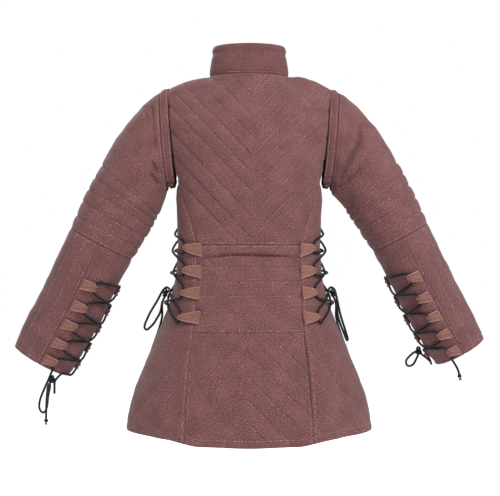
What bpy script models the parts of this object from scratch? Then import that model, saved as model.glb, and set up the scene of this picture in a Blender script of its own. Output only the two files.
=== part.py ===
"""A woman's laced gambeson, filled out as worn: padded body, skirt, sleeves, loops and laces."""
import math

import bmesh
import bpy
import numpy as np
from mathutils import Vector

# ---------------------------------------------------------------- driving dimensions (metres)
CLOTH_WALL = 0.005          # quilted cloth: two faces of canvas with batting between
COLLAR_WALL = 0.006
STRIP_WALL = 0.004
SEAM_GAP = 0.0004           # daylight between neighbouring pieces
SEAM_MARGIN = 0.003         # narrow first row of faces beside each seam

NECK_HALF = 0.0865          # neck seam: half width, and how far back and forward it reaches
NECK_BACK = 0.060
NECK_FRONT = 0.072
NECK_DIP = 0.022            # the front of the neck sits lower
NECK_SHARE = 0.50           # share of a panel's top edge that is neck rather than shoulder
SHOULDER_X = 0.1755
SHOULDER_DROP = 0.026
SHOULDER_CURVE = 1.8        # how late the shoulder falls away from the neck, left and right
RIGHT_SHOULDER_CURVE = 2.1
RIGHT_SHOULDER_FULL = 0.003     # the wearer's right shoulder stands this much fuller

COLLAR_HEIGHT = 0.065
COLLAR_TOP_HALF = 0.077
COLLAR_TOP_BACK = 0.056
COLLAR_TOP_FRONT = 0.064
COLLAR_OPENING = math.radians(2.5)

WAIST_Z = -0.364
SKIRT_SEAM_Z = -0.543
HEM_Z = -0.768
HEM_RISE = 0.0105           # the hem is this much higher at the sides than behind
SKIRT_WAVE = 0.003          # height of the soft waves that the skirt hangs in, at the hem
SKIRT_WAVES = 9
HEM_SIDE_START = 0.45       # the hem starts to rise this far out from the middle, as a share
HEM_SIDE_SPAN = 0.30        # and has risen fully after this much more
WAIST_FOLD_Z = -0.386       # the cloth folds over in an arch below the back waist seam
WAIST_FOLD_DEPTH = 0.004
WAIST_FOLD_ARCH = 0.004
WAIST_FOLD_WIDTH = 0.010
WAIST_FOLD_HALF = 0.10      # half the fold's length
WAIST_FOLD_TOP = -0.3725    # rows of the back panel that carry the fold, and the next below
WAIST_FOLD_FOOT = -0.4005
BELOW_FOLD = -0.412
UNDERARM_Z = -0.250         # the side panels' top edge: at its middle and at its ends
SIDE_TOP_Z = -0.231
CHEST_Z = -0.260

LAP_REACH = 0.018           # how far each front passes the centre line
LAP_TOP = -0.045            # the fronts meet edge to edge above this, under the collar
LAP_LIFT = 0.0088           # the overlapping front lies this much further out
LAP_BEND = 0.060            # a front bends from its usual line within this far of the centre
LAP_FULL = 0.030            # the overlapping front has its whole lift within this far
LAP_SOFT = 0.070            # and none of it beyond this
BUTTON_RADIUS = 0.009
BUTTON_X = 0.0
BUTTON_STAND = 0.0055
BUTTON_HEIGHTS = (-0.060, -0.155, -0.250, -0.345)

CORD_DIAMETER = 0.0050
EYE_RADIUS = 0.0031         # channel of a loop that the lace runs through
EYE_LIFT = 0.0062           # height of that channel above the cloth
LOOP_BASE_HALF = 0.0125     # half width of a loop at its seam and at its fold
LOOP_FOLD_HALF = 0.0060
TAPE = 0.0012               # thickness of the folded tape

# Body sections, neck to hem: height, half width, reach to the back and to the front, squareness
# of the outline, where the back side seam lies across, and the front side seam's direction.
TORSO = (
    ("armhole foot", -0.225, 0.1585, 0.110, 0.136, 2.70, 0.1535, -24),
    ("chest", -0.260, 0.1575, 0.104, 0.132, 2.60, 0.1440, -28),
    ("ribs", -0.295, 0.1560, 0.097, 0.122, 2.50, 0.1300, -31),
    ("above waist", -0.330, 0.1550, 0.090, 0.114, 2.40, 0.1180, -32),
    ("waist", -0.364, 0.1540, 0.087, 0.110, 2.35, 0.1095, -32),
    ("below waist", -0.405, 0.1565, 0.093, 0.112, 2.30, 0.1090, -32),
    ("high hip", -0.440, 0.1600, 0.104, 0.120, 2.30, 0.1100, -32),
    ("hip", -0.480, 0.1700, 0.121, 0.131, 2.25, 0.1110, -33),
    ("seat", -0.520, 0.1840, 0.138, 0.143, 2.20, 0.1120, -34),
    ("skirt seam", -0.543, 0.1935, 0.147, 0.150, 2.20, 0.1140, -35),
    ("skirt upper", -0.600, 0.2155, 0.166, 0.164, 2.15, 0.1210, -37),
    ("skirt middle", -0.650, 0.2350, 0.180, 0.174, 2.10, 0.1240, -38),
    ("skirt lower", -0.700, 0.2515, 0.191, 0.182, 2.10, 0.1265, -39),
    ("hem", -0.768, 0.2640, 0.201, 0.190, 2.10, 0.1290, -40),
)

# Sections above the armhole foot: height at the middle, reach at the middle, then the
# armhole edge's place, and how full the curve between them is.
BACK_YOKE = (
    ("shoulder", -0.058, 0.088, 0.1720, 0.048, -0.064, 2.2),
    ("blades", -0.122, 0.110, 0.1670, 0.062, -0.125, 2.3),
    ("lower armhole", -0.182, 0.114, 0.1600, 0.052, -0.190, 2.5),
)
FRONT_YOKE = (
    ("collarbone", -0.070, -0.096, 0.1710, -0.050, -0.064, 2.2),
    ("chest", -0.128, -0.124, 0.1640, -0.066, -0.125, 2.3),
    ("bust", -0.184, -0.140, 0.1580, -0.056, -0.190, 2.5),
)

# Sleeve rings from the armhole strip to the cuff, at stations -1 to 9: outer edge (across,
# height), inner edge (across, height), middle's reach back, half depth.
SLEEVE = (
    ("strip", 0.1785, -0.0245, 0.1600, -0.2440, 0.000, 0.064),
    ("head", 0.1960, -0.0330, 0.1760, -0.2460, 0.000, 0.068),
    ("cap", 0.2350, -0.0680, 0.1820, -0.2550, 0.001, 0.075),
    ("upper arm", 0.2740, -0.1130, 0.1900, -0.2670, 0.002, 0.077),
    ("biceps", 0.3100, -0.1700, 0.2010, -0.2860, 0.003, 0.075),
    ("above elbow", 0.3470, -0.2360, 0.2190, -0.3190, 0.003, 0.072),
    ("elbow", 0.3870, -0.3200, 0.2640, -0.3860, 0.000, 0.069),
    ("below elbow", 0.4200, -0.3860, 0.3000, -0.4500, -0.012, 0.067),
    ("forearm", 0.4570, -0.4540, 0.3360, -0.5190, -0.032, 0.065),
    ("wrist", 0.4935, -0.5155, 0.3740, -0.5830, -0.053, 0.0635),
    ("cuff", 0.5270, -0.5790, 0.4140, -0.6440, -0.075, 0.062),
)
ELBOW_STATION = 5.0
CUFF_STATION = 9.0

# Per side: direction, how much wider the sleeve lies in front view, and how much lower it hangs.
SIDES = {"left": (1, 0.008, 0.010), "right": (-1, -0.007, -0.008)}

GUSSET_BACK = math.radians(-4)      # the sleeve's laced gap, as directions round the forearm
GUSSET_FRONT = math.radians(-128)

STRIP_LOW = math.radians(-45)       # the armhole strip ends here, above the open underarm

# Loops: height and share across the gap of each eye at the waist; station at the sleeve.
WAIST_LOOPS_BACK = ((-0.368, 0.19), (-0.416, 0.18), (-0.463, 0.165), (-0.514, 0.15))
WAIST_LOOPS_FRONT = ((-0.338, 0.80), (-0.386, 0.81), (-0.433, 0.825), (-0.484, 0.84))
SLEEVE_LOOPS_BACK = (6.16, 6.80, 7.44, 8.08, 8.70)
SLEEVE_LOOPS_FRONT = (6.06, 6.70, 7.34, 7.98, 8.60)
SLEEVE_EYE = 0.20

MADDER = (0.205, 0.089, 0.088)
MADDER_LIGHT = (0.235, 0.105, 0.102)
TAPE_PINK = (0.330, 0.160, 0.135)
NEAR_BLACK = (0.012, 0.013, 0.015)

# The laces' routes, by hand. A stop over a laced gap is its share of the way from the back
# seam to the front seam, its height (or its station along the sleeve) and its lift off the
# cloth. A stop in the open is a point beside the wearer's left side, mirrored for the right.
LOW = 0.0062                # lift of a strand in a loop, or of one alone
UNDER = 0.0054              # lift of a strand where another passes over it
HIGH = 0.0118               # and of the one that passes over

WAIST_CROSSING = (
    (0.61, -0.4670, HIGH), (0.74, -0.4640, 0.0085),
    (0.84, -0.4730, LOW), (0.84, -0.4950, LOW), (0.66, -0.4930, 0.0080), (0.45, -0.4850, HIGH),
    (0.29, -0.4800, 0.0090), (0.165, -0.4740, LOW), (0.165, -0.4520, LOW), (0.53, -0.4245, LOW),
    (0.81, -0.3970, LOW), (0.81, -0.3750, LOW), (0.53, -0.3770, LOW),
    (0.19, -0.3790, LOW), (0.19, -0.3570, LOW), (0.53, -0.3420, LOW),
    (0.80, -0.3270, LOW), (0.80, -0.3490, LOW), (0.53, -0.3770, HIGH),
    (0.18, -0.4050, LOW), (0.18, -0.4270, LOW), (0.53, -0.4245, HIGH),
    (0.825, -0.4220, LOW), (0.825, -0.4440, LOW), (0.60, -0.4720, LOW), (0.36, -0.5000, LOW),
    (0.15, -0.5250, LOW), (0.15, -0.5030, LOW), (0.34, -0.4800, LOW), (0.52, -0.4600, 0.0085),
)
WAIST_LACE_LEFT = (
    (0.74, -0.5850, 0.0070), (0.745, -0.5500, 0.0075), (0.72, -0.5200, 0.0100),
    (0.66, -0.4960, 0.0160), (0.60, -0.4820, 0.0155), *WAIST_CROSSING,
    (0.585, -0.4560, 0.0160), (0.630, -0.4640, 0.0235), (0.640, -0.4850, 0.0290),
    (0.640, -0.5150, 0.0360), (0.630, -0.5400, 0.0360), (0.600, -0.5480, 0.0270),
    (0.575, -0.5360, 0.0180), (0.560, -0.5080, 0.0130), (0.555, -0.4860, 0.0165),
)
WAIST_LACE_RIGHT = (
    (0.74, -0.5850, 0.0070), (0.745, -0.5500, 0.0075), (0.72, -0.5200, 0.0100),
    (0.66, -0.4960, 0.0160), (0.60, -0.4820, 0.0155), *WAIST_CROSSING,
    (0.585, -0.4560, 0.0160), (0.620, -0.4640, 0.0220), (0.620, -0.4850, 0.0210),
    (0.625, -0.5150, 0.0170), (0.630, -0.5480, 0.0140), (0.625, -0.5680, 0.0120),
    (0.590, -0.5700, 0.0080), (0.575, -0.5500, 0.0075), (0.570, -0.5200, 0.0095),
    (0.560, -0.4880, 0.0160),
)
SLEEVE_LACE_LEFT = (
    (0.36, 8.90, 0.0080), (0.60, 8.92, LOW),
    (0.80, 8.76, LOW), (0.80, 8.44, LOW), (0.50, 8.35, UNDER), (0.20, 8.23, LOW), (0.20, 7.93, LOW),
    (0.50, 7.71, UNDER), (0.80, 7.49, LOW), (0.80, 7.19, LOW), (0.50, 7.07, UNDER),
    (0.20, 6.95, LOW), (0.20, 6.65, LOW), (0.50, 6.43, UNDER), (0.80, 6.21, LOW), (0.80, 5.91, LOW),
    (0.50, 5.90, LOW), (0.20, 6.01, LOW), (0.20, 6.31, LOW), (0.50, 6.43, HIGH),
    (0.80, 6.55, LOW), (0.80, 6.85, LOW), (0.50, 7.07, HIGH), (0.20, 7.29, LOW), (0.20, 7.59, LOW),
    (0.50, 7.71, HIGH), (0.80, 7.83, LOW), (0.80, 8.13, LOW), (0.50, 8.35, HIGH),
    (0.20, 8.55, LOW), (0.20, 8.85, LOW),
)
LEFT_SHORT_END = ((0.4270, -0.0150, -0.6900), (0.4270, -0.0160, -0.6750), (0.4265, -0.0180, -0.6620))
LEFT_LOOP_AND_END = (
    (0.4400, -0.0120, -0.6600), (0.4480, -0.0120, -0.6780), (0.4580, -0.0130, -0.7020),
    (0.4600, -0.0135, -0.7230), (0.4510, -0.0135, -0.7330), (0.4430, -0.0130, -0.7200),
    (0.4400, -0.0110, -0.6950), (0.4350, -0.0070, -0.6740), (0.4340, -0.0010, -0.6640),
    (0.4370, 0.0050, -0.6700), (0.4395, 0.0050, -0.6900), (0.4415, 0.0020, -0.7200),
    (0.4425, -0.0010, -0.7480),
)
RIGHT_LONG_END = ((0.4610, -0.0100, -0.6520), (0.4560, -0.0120, -0.6340))
SLEEVE_LACE_RIGHT = (
    (0.20, 8.86, LOW), (0.20, 8.55, LOW), (0.50, 8.34, UNDER), (0.80, 8.13, LOW), (0.80, 7.83, LOW),
    (0.50, 7.71, UNDER), (0.20, 7.59, LOW), (0.20, 7.29, LOW), (0.50, 7.07, UNDER),
    (0.80, 6.85, LOW), (0.80, 6.55, LOW), (0.50, 6.43, UNDER), (0.20, 6.31, LOW), (0.20, 6.01, LOW),
    (0.50, 5.90, LOW), (0.80, 5.91, LOW), (0.80, 6.21, LOW), (0.50, 6.43, HIGH),
    (0.20, 6.65, LOW), (0.20, 6.95, LOW), (0.50, 7.07, HIGH), (0.80, 7.19, LOW), (0.80, 7.49, LOW),
    (0.50, 7.71, HIGH), (0.20, 7.93, LOW), (0.20, 8.23, LOW), (0.50, 8.34, HIGH),
    (0.80, 8.44, LOW), (0.80, 8.76, LOW), (0.72, 8.92, 0.0080), (0.64, 8.80, 0.0090),
    (0.63, 8.60, 0.0130),
)
RIGHT_LOOP = (
    (0.3760, -0.0640, -0.6030), (0.3620, -0.0640, -0.6110), (0.3520, -0.0650, -0.6240),
    (0.3560, -0.0660, -0.6350), (0.3680, -0.0670, -0.6320), (0.3760, -0.0690, -0.6190),
    (0.3820, -0.0730, -0.6080),
)


# ---------------------------------------------------------------- scene, materials, sheets
def clear_scene():
    """Take every object out of the scene."""
    for item in list(bpy.data.objects):
        bpy.data.objects.remove(item, do_unlink=True)


def parts_collection():
    """The collection that holds the garment's pieces."""
    group = bpy.data.collections.new("gambeson")
    bpy.context.scene.collection.children.link(group)
    return group


def finish(name, colour, roughness):
    """A plain Principled material of one colour, with no metal in it."""
    material = bpy.data.materials.new(name)
    material.use_nodes = True
    shader = material.node_tree.nodes["Principled BSDF"]
    shader.inputs["Base Color"].default_value = (*colour, 1.0)
    shader.inputs["Roughness"].default_value = roughness
    shader.inputs["Metallic"].default_value = 0.0
    return material


def piece_from(name, shape, colour, roughness=0.92):
    """Turn a finished bmesh into a named piece with its own material."""
    mesh = bpy.data.meshes.new(name)
    shape.to_mesh(mesh)
    shape.free()
    mesh.materials.append(finish(name, colour, roughness))
    piece = bpy.data.objects.new(name, mesh)
    GARMENT.objects.link(piece)
    return piece


def sheet(name, rows, middles, wall, colour, ring=False):
    """Loft an open cloth surface through its rows of points and thicken it inward."""
    shape = bmesh.new()
    grid = [[shape.verts.new(point) for point in row] for row in rows]
    columns = len(rows[0])
    facing = 0.0
    for upper, lower, middle in zip(grid[:-1], grid[1:], middles):
        for at in range(columns if ring else columns - 1):
            after = (at + 1) % columns
            face = shape.faces.new((upper[at], lower[at], lower[after], upper[after]))
            face.smooth = True
            face.normal_update()
            facing += face.normal.dot(face.calc_center_median() - Vector(middle))
    if facing < 0:
        bmesh.ops.reverse_faces(shape, faces=shape.faces)
    piece = piece_from(name, shape, colour)
    thicken = piece.modifiers.new("wall", "SOLIDIFY")
    thicken.thickness = wall
    thicken.offset = -1.0
    thicken.use_even_offset = True
    return piece


# ---------------------------------------------------------------- curves read from the tables
def blend(start, end, share):
    """A point or number part of the way from start to end."""
    return start + (end - start) * share


def eased(share):
    """A share held between 0 and 1, with soft ends."""
    share = min(max(share, 0.0), 1.0)
    return share * share * (3 - 2 * share)


def column_at(stations, values, at):
    """Read a table column between its rows, as a smooth curve through them."""
    slopes = np.gradient(values, stations)
    row = int(np.clip(np.searchsorted(stations, at) - 1, 0, len(stations) - 2))
    span = stations[row + 1] - stations[row]
    t = (at - stations[row]) / span
    ends = values[row] * (2 * t**3 - 3 * t**2 + 1) + values[row + 1] * (3 * t**2 - 2 * t**3)
    lean = slopes[row] * (t**3 - 2 * t**2 + t) + slopes[row + 1] * (t**3 - t**2)
    return ends + lean * span


def spread(start, end, count, margin=0.0):
    """Even steps from start to end, with a narrow first and last step beside the seams."""
    inner = np.linspace(start, end, count)
    if not margin:
        return list(inner)
    edge = margin if end > start else -margin
    return [start, start + edge, *inner[1:-1], end - edge, end]


TORSO_HEIGHTS = np.array([row[1] for row in TORSO][::-1])
TORSO_COLUMNS = [np.array([row[column] for row in TORSO][::-1]) for column in range(2, 8)]


def torso_sizes(height):
    """Half width, back, front, squareness, back seam and front seam at a height."""
    return [column_at(TORSO_HEIGHTS, values, height) for values in TORSO_COLUMNS]


def torso_point(height, turn, lift=0.0):
    """A point of the body's outer face; turn is 0 at the wearer's left side, 90 degrees behind."""
    half, back, front, square, _, _ = torso_sizes(height)
    power = 2.0 / square
    reach = back if math.sin(turn) > 0 else front
    across = math.copysign(abs(math.cos(turn)) ** power, math.cos(turn))
    deep = math.copysign(abs(math.sin(turn)) ** power, math.sin(turn))
    length = math.hypot(half * across, reach * deep)
    return np.array((half * across, reach * deep, height)) * (1 + lift / length, 1 + lift / length, 1)


def back_seam_turn(height):
    """Direction of the back side seam, on the wearer's left."""
    half, _, _, square, seam, _ = torso_sizes(height)
    return math.acos((seam / half) ** (square / 2))


def front_seam_turn(height):
    """Direction of the front side seam, on the wearer's left."""
    return math.radians(torso_sizes(height)[5])


def mirrored(point, side):
    """The same point on the wearer's left (1) or right (-1)."""
    return np.array((point[0] * side, point[1], point[2]))


# ---------------------------------------------------------------- body panels
BODICE_LEVELS = [TORSO_HEIGHTS[-1], SIDE_TOP_Z, *spread(CHEST_Z, WAIST_Z, 4)]
WAIST_LEVELS = spread(WAIST_Z, SKIRT_SEAM_Z, 6)
SKIRT_LEVELS = spread(SKIRT_SEAM_Z, HEM_Z, 7)
SIDE_LEVELS = BODICE_LEVELS[2:] + WAIST_LEVELS[1:] + SKIRT_LEVELS[1:]
BACK_SHARES = spread(0.0, 1.0, 17, 0.012)
FRONT_SHARES = [2 * share for share in BACK_SHARES[:10]]
SEAM_TURN = 0.0028          # half the daylight at an upright seam, as a turn about the body


def top_edge(across, facing, side):
    """Neck and shoulder line of a panel; across runs from -1 to 1, facing is 1 for the back."""
    reach = abs(across)
    on_right = across * side < 0
    full = RIGHT_SHOULDER_FULL if on_right else 0.0
    curve = RIGHT_SHOULDER_CURVE if on_right else SHOULDER_CURVE
    if reach < NECK_SHARE:
        turn = reach / NECK_SHARE * math.pi / 2
        depth = NECK_BACK if facing > 0 else NECK_FRONT
        dip = 0.0 if facing > 0 else NECK_DIP
        x, y, z = NECK_HALF * math.sin(turn), facing * depth * math.cos(turn), -dip * math.cos(turn) ** 2
    else:
        along = (reach - NECK_SHARE) / (1 - NECK_SHARE)
        fall = -SHOULDER_DROP * along**curve
        x, y, z = blend(NECK_HALF, SHOULDER_X, along), 0.0, fall + full * math.sin(math.pi * along**0.5)
    return np.array((math.copysign(x, across), y + facing * SEAM_GAP / 2, z))


def yoke_rows(shares, table, facing, side=1):
    """Rows of a panel from the neck and shoulder down to just above the armhole foot."""
    top = [top_edge(across, facing, side) for across in shares]
    ridge = [point + (0.0, facing * 0.004, 0.0) for point in top]
    over = []
    for across, point in zip(shares, top):
        out = np.clip((abs(across) - 0.2) / 0.4, 0, 1)
        over.append(point + (0.0, facing * blend(0.009, 0.027, out), blend(-0.018, -0.0075, out)))
    rows = [top, ridge, over]
    for _, middle_z, middle_y, edge_x, edge_y, edge_z, full in table:
        row = []
        for across in shares:
            fall = abs(across) ** full
            depth = blend(middle_y, edge_y, fall)
            row.append(np.array((edge_x * across, depth, blend(middle_z, edge_z, fall))))
        rows.append(row)
    return rows


def ring_rows(levels, shares, first_turn, last_turn):
    """Rows of a panel round the body, from one seam's direction to the other's."""
    rows = []
    for height in levels:
        start = first_turn(height)
        end = last_turn(height)
        rows.append([hung(torso_point(height, blend(start, end, share))) for share in shares])
    return rows


def hung(point):
    """Hang the skirt: shorter towards the sides, and in soft waves that grow to its hem."""
    x, y, z = point
    length = math.hypot(x, y)
    aside = eased((abs(x) / length - HEM_SIDE_START) / HEM_SIDE_SPAN)
    down = max((SKIRT_SEAM_Z - z) / (SKIRT_SEAM_Z - HEM_Z), 0.0)
    wave = 1 + SKIRT_WAVE * down * math.sin(SKIRT_WAVES * math.atan2(y, x)) / length
    return np.array((x * wave, y * wave, z + HEM_RISE * aside * down))


def middles_of(rows):
    """The body's middle beside each row, which its outer face looks away from."""
    return [(0.0, 0.0, float(np.mean([point[2] for point in row]))) for row in rows]


def left_back(height):
    return back_seam_turn(height) + SEAM_TURN


def right_back(height):
    return math.pi - left_back(height)


def left_front(height):
    return front_seam_turn(height) - SEAM_TURN


def folded(point):
    """Press the arched fold into the small of the back."""
    x, y, z = point
    middle = max(1 - (x / WAIST_FOLD_HALF) ** 2, 0.0)
    apart = (z - WAIST_FOLD_Z - WAIST_FOLD_ARCH * middle) / WAIST_FOLD_WIDTH
    return np.array((x, y - WAIST_FOLD_DEPTH * middle**0.5 * max(1 - abs(apart), 0.0), z))


def back_panel(name, levels):
    """One panel of the back, between its two cross seams."""
    rows = ring_rows(levels, BACK_SHARES, left_back, right_back)
    rows = [[folded(point) for point in row] for row in rows]
    sheet(name, rows, middles_of(rows), CLOTH_WALL, MADDER)


def build_back():
    """Bodice, waist and skirt of the back, sewn to each other across."""
    across = [1 - 2 * share for share in BACK_SHARES]
    levels = [*BODICE_LEVELS[:-1], WAIST_Z + SEAM_MARGIN, WAIST_Z + SEAM_GAP / 2]
    rows = yoke_rows(across, BACK_YOKE, 1) + ring_rows(levels, BACK_SHARES, left_back, right_back)
    sheet("back_bodice", rows, middles_of(rows), CLOTH_WALL, MADDER)
    fold_rows = spread(WAIST_FOLD_TOP, WAIST_FOLD_FOOT, 5)
    below_fold = spread(BELOW_FOLD, SKIRT_SEAM_Z + SEAM_GAP / 2, 5, SEAM_MARGIN)
    waist_rows = [WAIST_Z - SEAM_GAP / 2, WAIST_Z - SEAM_MARGIN, *fold_rows, below_fold[0], *below_fold[2:]]
    back_panel("back_waist", waist_rows)
    back_panel("back_skirt", spread(SKIRT_SEAM_Z - SEAM_GAP / 2, HEM_Z, len(SKIRT_LEVELS), SEAM_MARGIN))


def side_back(height):
    return back_seam_turn(height) - SEAM_TURN


def side_front(height):
    return front_seam_turn(height) + SEAM_TURN


def centre_front(height):
    return -math.pi / 2


def build_side(name, side):
    """The plain panel under the arm, from the armhole to the hem, behind the side lacing."""
    shares = spread(0.0, 1.0, 6, 0.03)
    top = []
    for share in shares:
        height = blend(SIDE_TOP_Z, UNDERARM_Z, math.sin(math.pi * share))
        top.append(torso_point(height, blend(side_back(height), side_front(height), share)))
    rows = [top] + ring_rows(SIDE_LEVELS, shares, side_back, side_front)
    rows = [[mirrored(point, side) for point in row] for row in rows]
    sheet(name, rows, middles_of(rows), CLOTH_WALL, MADDER)


def build_front(name, side):
    """One front from shoulder to hem; the wearer's right front laps over the left."""
    over = LAP_LIFT if side < 0 else 0.0
    rows = yoke_rows([1 - share for share in FRONT_SHARES], FRONT_YOKE, -1, side)
    levels = BODICE_LEVELS[:2] + SIDE_LEVELS
    rows += ring_rows(levels, FRONT_SHARES, left_front, centre_front)
    rows = [[mirrored(lapped(point, over), side) for point in row] for row in rows]
    sheet(name, rows, middles_of(rows), CLOTH_WALL, MADDER)


def lapped(point, over):
    """Carry a front's edge past the centre line, and raise it where it lies over the other."""
    x, y, z = point
    reach = LAP_REACH * max(1 - x / LAP_BEND, 0.0) * eased((LAP_TOP - z) / 0.03)
    rise = over * eased((LAP_SOFT - x) / (LAP_SOFT - LAP_FULL)) * eased((LAP_TOP + 0.03 - z) / 0.02)
    return np.array((x - reach + 1.5 * SEAM_GAP, y - rise, z))


def build_collar():
    """The standing collar, open at the centre front."""
    rows = []
    collar_turns = spread(-math.pi / 2, 3 * math.pi / 2, 17)
    collar_turns[0] += COLLAR_OPENING
    collar_turns[-1] -= COLLAR_OPENING
    for rise in (0.0, 0.5, 1.0):
        row = []
        for turn in collar_turns:
            behind = math.sin(turn) > 0
            front = max(-math.sin(turn), 0.0) ** 2
            half = blend(NECK_HALF, COLLAR_TOP_HALF, rise)
            low, high = (NECK_BACK, COLLAR_TOP_BACK) if behind else (NECK_FRONT, COLLAR_TOP_FRONT)
            depth = blend(low, high, rise)
            base = -NECK_DIP * front + SEAM_GAP
            top = COLLAR_HEIGHT - 0.5 * NECK_DIP * front
            row.append(np.array((half * math.cos(turn), depth * math.sin(turn), blend(base, top, rise))))
        rows.append(row)
    sheet("collar", rows, middles_of(rows), COLLAR_WALL, MADDER_LIGHT)


# ---------------------------------------------------------------- sleeves
def sleeve_ring(name, station):
    """Outer edge, inner edge, middle and half depth of a sleeve at a station along it."""
    _, wider, lower = SIDES[name]
    stations = np.arange(len(SLEEVE)) - 1.0
    read = [column_at(stations, np.array([row[column] for row in SLEEVE]), station) for column in range(1, 7)]
    settle = np.clip((station - 1) / 3, 0, 1)
    hang = lower * station / CUFF_STATION
    outer = np.array((read[0], 0.0, read[1] - hang))
    inner = np.array((read[2] - wider * settle, 0.0, read[3] - hang - 0.5 * wider * settle))
    return outer, inner, read[4], read[5] - 0.5 * wider * settle


def sleeve_point(name, station, turn, lift=0.0):
    """A point of a sleeve's outer face; turn is 0 behind, 90 degrees on the outer edge."""
    outer, inner, middle_y, depth = sleeve_ring(name, station)
    middle = (outer + inner) / 2
    middle[1] = middle_y
    half = (outer - inner) / 2
    out = half * math.sin(turn) + np.array((0.0, depth * math.cos(turn), 0.0))
    out *= 1 + lift / np.linalg.norm(out)
    return mirrored(middle + out, SIDES[name][0])


def sleeve_rows(name, stations, turns):
    """Rows of a sleeve piece, and its middle beside each."""
    rows = [[sleeve_point(name, station, turn) for turn in turns] for station in stations]
    middles = []
    for station in stations:
        outer, inner, middle_y, _ = sleeve_ring(name, station)
        middle = (outer + inner) / 2
        middles.append(mirrored((middle[0], middle_y, middle[2]), SIDES[name][0]))
    return rows, middles


def build_sleeve(name):
    """Upper sleeve, forearm and the gusset behind the forearm's lacing."""
    round_turns = list(np.arange(16) * math.tau / 16)
    seam = 0.003
    stations = [0.0, 0.08, 0.5, 1.0, 1.5, 2.0, 2.5, 3.0, 3.5, 4.0, 4.5, 4.95, ELBOW_STATION]
    rows, middles = sleeve_rows(name, stations, round_turns)
    sheet(f"upper_sleeve_{name}", rows, middles, CLOTH_WALL, MADDER, ring=True)
    stations = [ELBOW_STATION + 0.008, 5.06, 5.8, 6.6, 7.4, 8.2, CUFF_STATION]
    turns = spread(GUSSET_BACK + seam, GUSSET_FRONT + math.tau - seam, 13, 0.03)
    rows, middles = sleeve_rows(name, stations, turns)
    sheet(f"forearm_{name}", rows, middles, CLOTH_WALL, MADDER)
    turns = spread(GUSSET_FRONT + seam, GUSSET_BACK - seam, 6, 0.03)
    rows, middles = sleeve_rows(name, stations, turns)
    sheet(f"forearm_gusset_{name}", rows, middles, CLOTH_WALL, MADDER)


def build_strip(name):
    """The welt over the shoulder that joins body and sleeve, open under the arm."""
    turns = spread(STRIP_LOW, math.pi - STRIP_LOW, 13)
    rows, middles = sleeve_rows(name, [-1.0, -0.5, -0.12, -0.045], turns)
    sheet(f"armhole_strip_{name}", rows, middles, STRIP_WALL, MADDER_LIGHT)


# ---------------------------------------------------------------- loops and laces
def waist_gap_point(name, share, height, lift):
    """A point over the side panel; share runs from the back seam to the front seam."""
    turn = blend(back_seam_turn(height), front_seam_turn(height), share)
    return mirrored(torso_point(height, turn, lift), SIDES[name][0])


def sleeve_gap_point(name, share, station, lift):
    """A point over the forearm gusset; share runs from the back seam to the front seam."""
    return sleeve_point(name, station, blend(GUSSET_BACK, GUSSET_FRONT, share), lift)


def build_loop(name, place, garment_side, front, station, eye_share, step):
    """A folded tape loop, sewn in at its seam, with a channel for the lace in its fold."""
    seam_share = 1.0 if front else 0.0
    root = place(garment_side, seam_share, station, 0.0016)
    eye = place(garment_side, eye_share, station, EYE_LIFT)
    above = place(garment_side, eye_share, station - step, EYE_LIFT)
    below = place(garment_side, eye_share, station + step, EYE_LIFT)
    under = place(garment_side, eye_share, station, 0.0)
    along = (below - above) / np.linalg.norm(below - above)
    up = (eye - under) / np.linalg.norm(eye - under)
    out = np.cross(along, up)
    if out.dot(eye - root) < 0:
        out = -out
    reach = (eye - root).dot(out)
    height = (eye - root).dot(up)
    bend = EYE_RADIUS + TAPE
    profile = (
        (bend, 0.0), (bend * 0.7, bend * 0.7), (0.0, bend), (-reach * 0.45, bend * 0.55),
        (-reach, -height + 0.0034), (-reach, -height + 0.0004), (-reach * 0.4, -bend),
        (bend * 0.7, -bend * 0.7),
    )
    shape = bmesh.new()
    rings = []
    for end in (-1, 1):
        outer = []
        inner = []
        for step_at, (flat, high) in enumerate(profile):
            half = blend(LOOP_FOLD_HALF, LOOP_BASE_HALF, np.clip(-flat / reach, 0, 1))
            outer.append(shape.verts.new(eye + out * flat + up * high + along * half * end))
            turn = math.tau * step_at / len(profile)
            hole = out * EYE_RADIUS * math.cos(turn) + up * EYE_RADIUS * math.sin(turn)
            inner.append(shape.verts.new(eye + hole + along * LOOP_FOLD_HALF * end))
        rings.append((outer, inner))
    count = len(profile)
    for at in range(count):
        after = (at + 1) % count
        (outer_a, inner_a), (outer_b, inner_b) = rings
        shape.faces.new((outer_a[at], outer_a[after], outer_b[after], outer_b[at]))
        shape.faces.new((inner_a[after], inner_a[at], inner_b[at], inner_b[after]))
        shape.faces.new((outer_a[after], outer_a[at], inner_a[at], inner_a[after]))
        shape.faces.new((outer_b[at], outer_b[after], inner_b[after], inner_b[at]))
    bmesh.ops.recalc_face_normals(shape, faces=shape.faces)
    piece_from(name, shape, TAPE_PINK, 0.85)


def smooth_route(points, spacing):
    """The route's own points, with one more on the smooth curve through them in each long gap."""
    points = [np.array(point) for point in points]
    padded = [2 * points[0] - points[1], *points, 2 * points[-1] - points[-2]]
    line = []
    for p0, p1, p2, p3 in zip(padded, padded[1:], padded[2:], padded[3:]):
        line.append(p1)
        if np.linalg.norm(p2 - p1) > spacing:
            line.append((p1 + p2) * 0.5625 - (p0 + p3) * 0.0625)
    return [*line, points[-1]]


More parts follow.
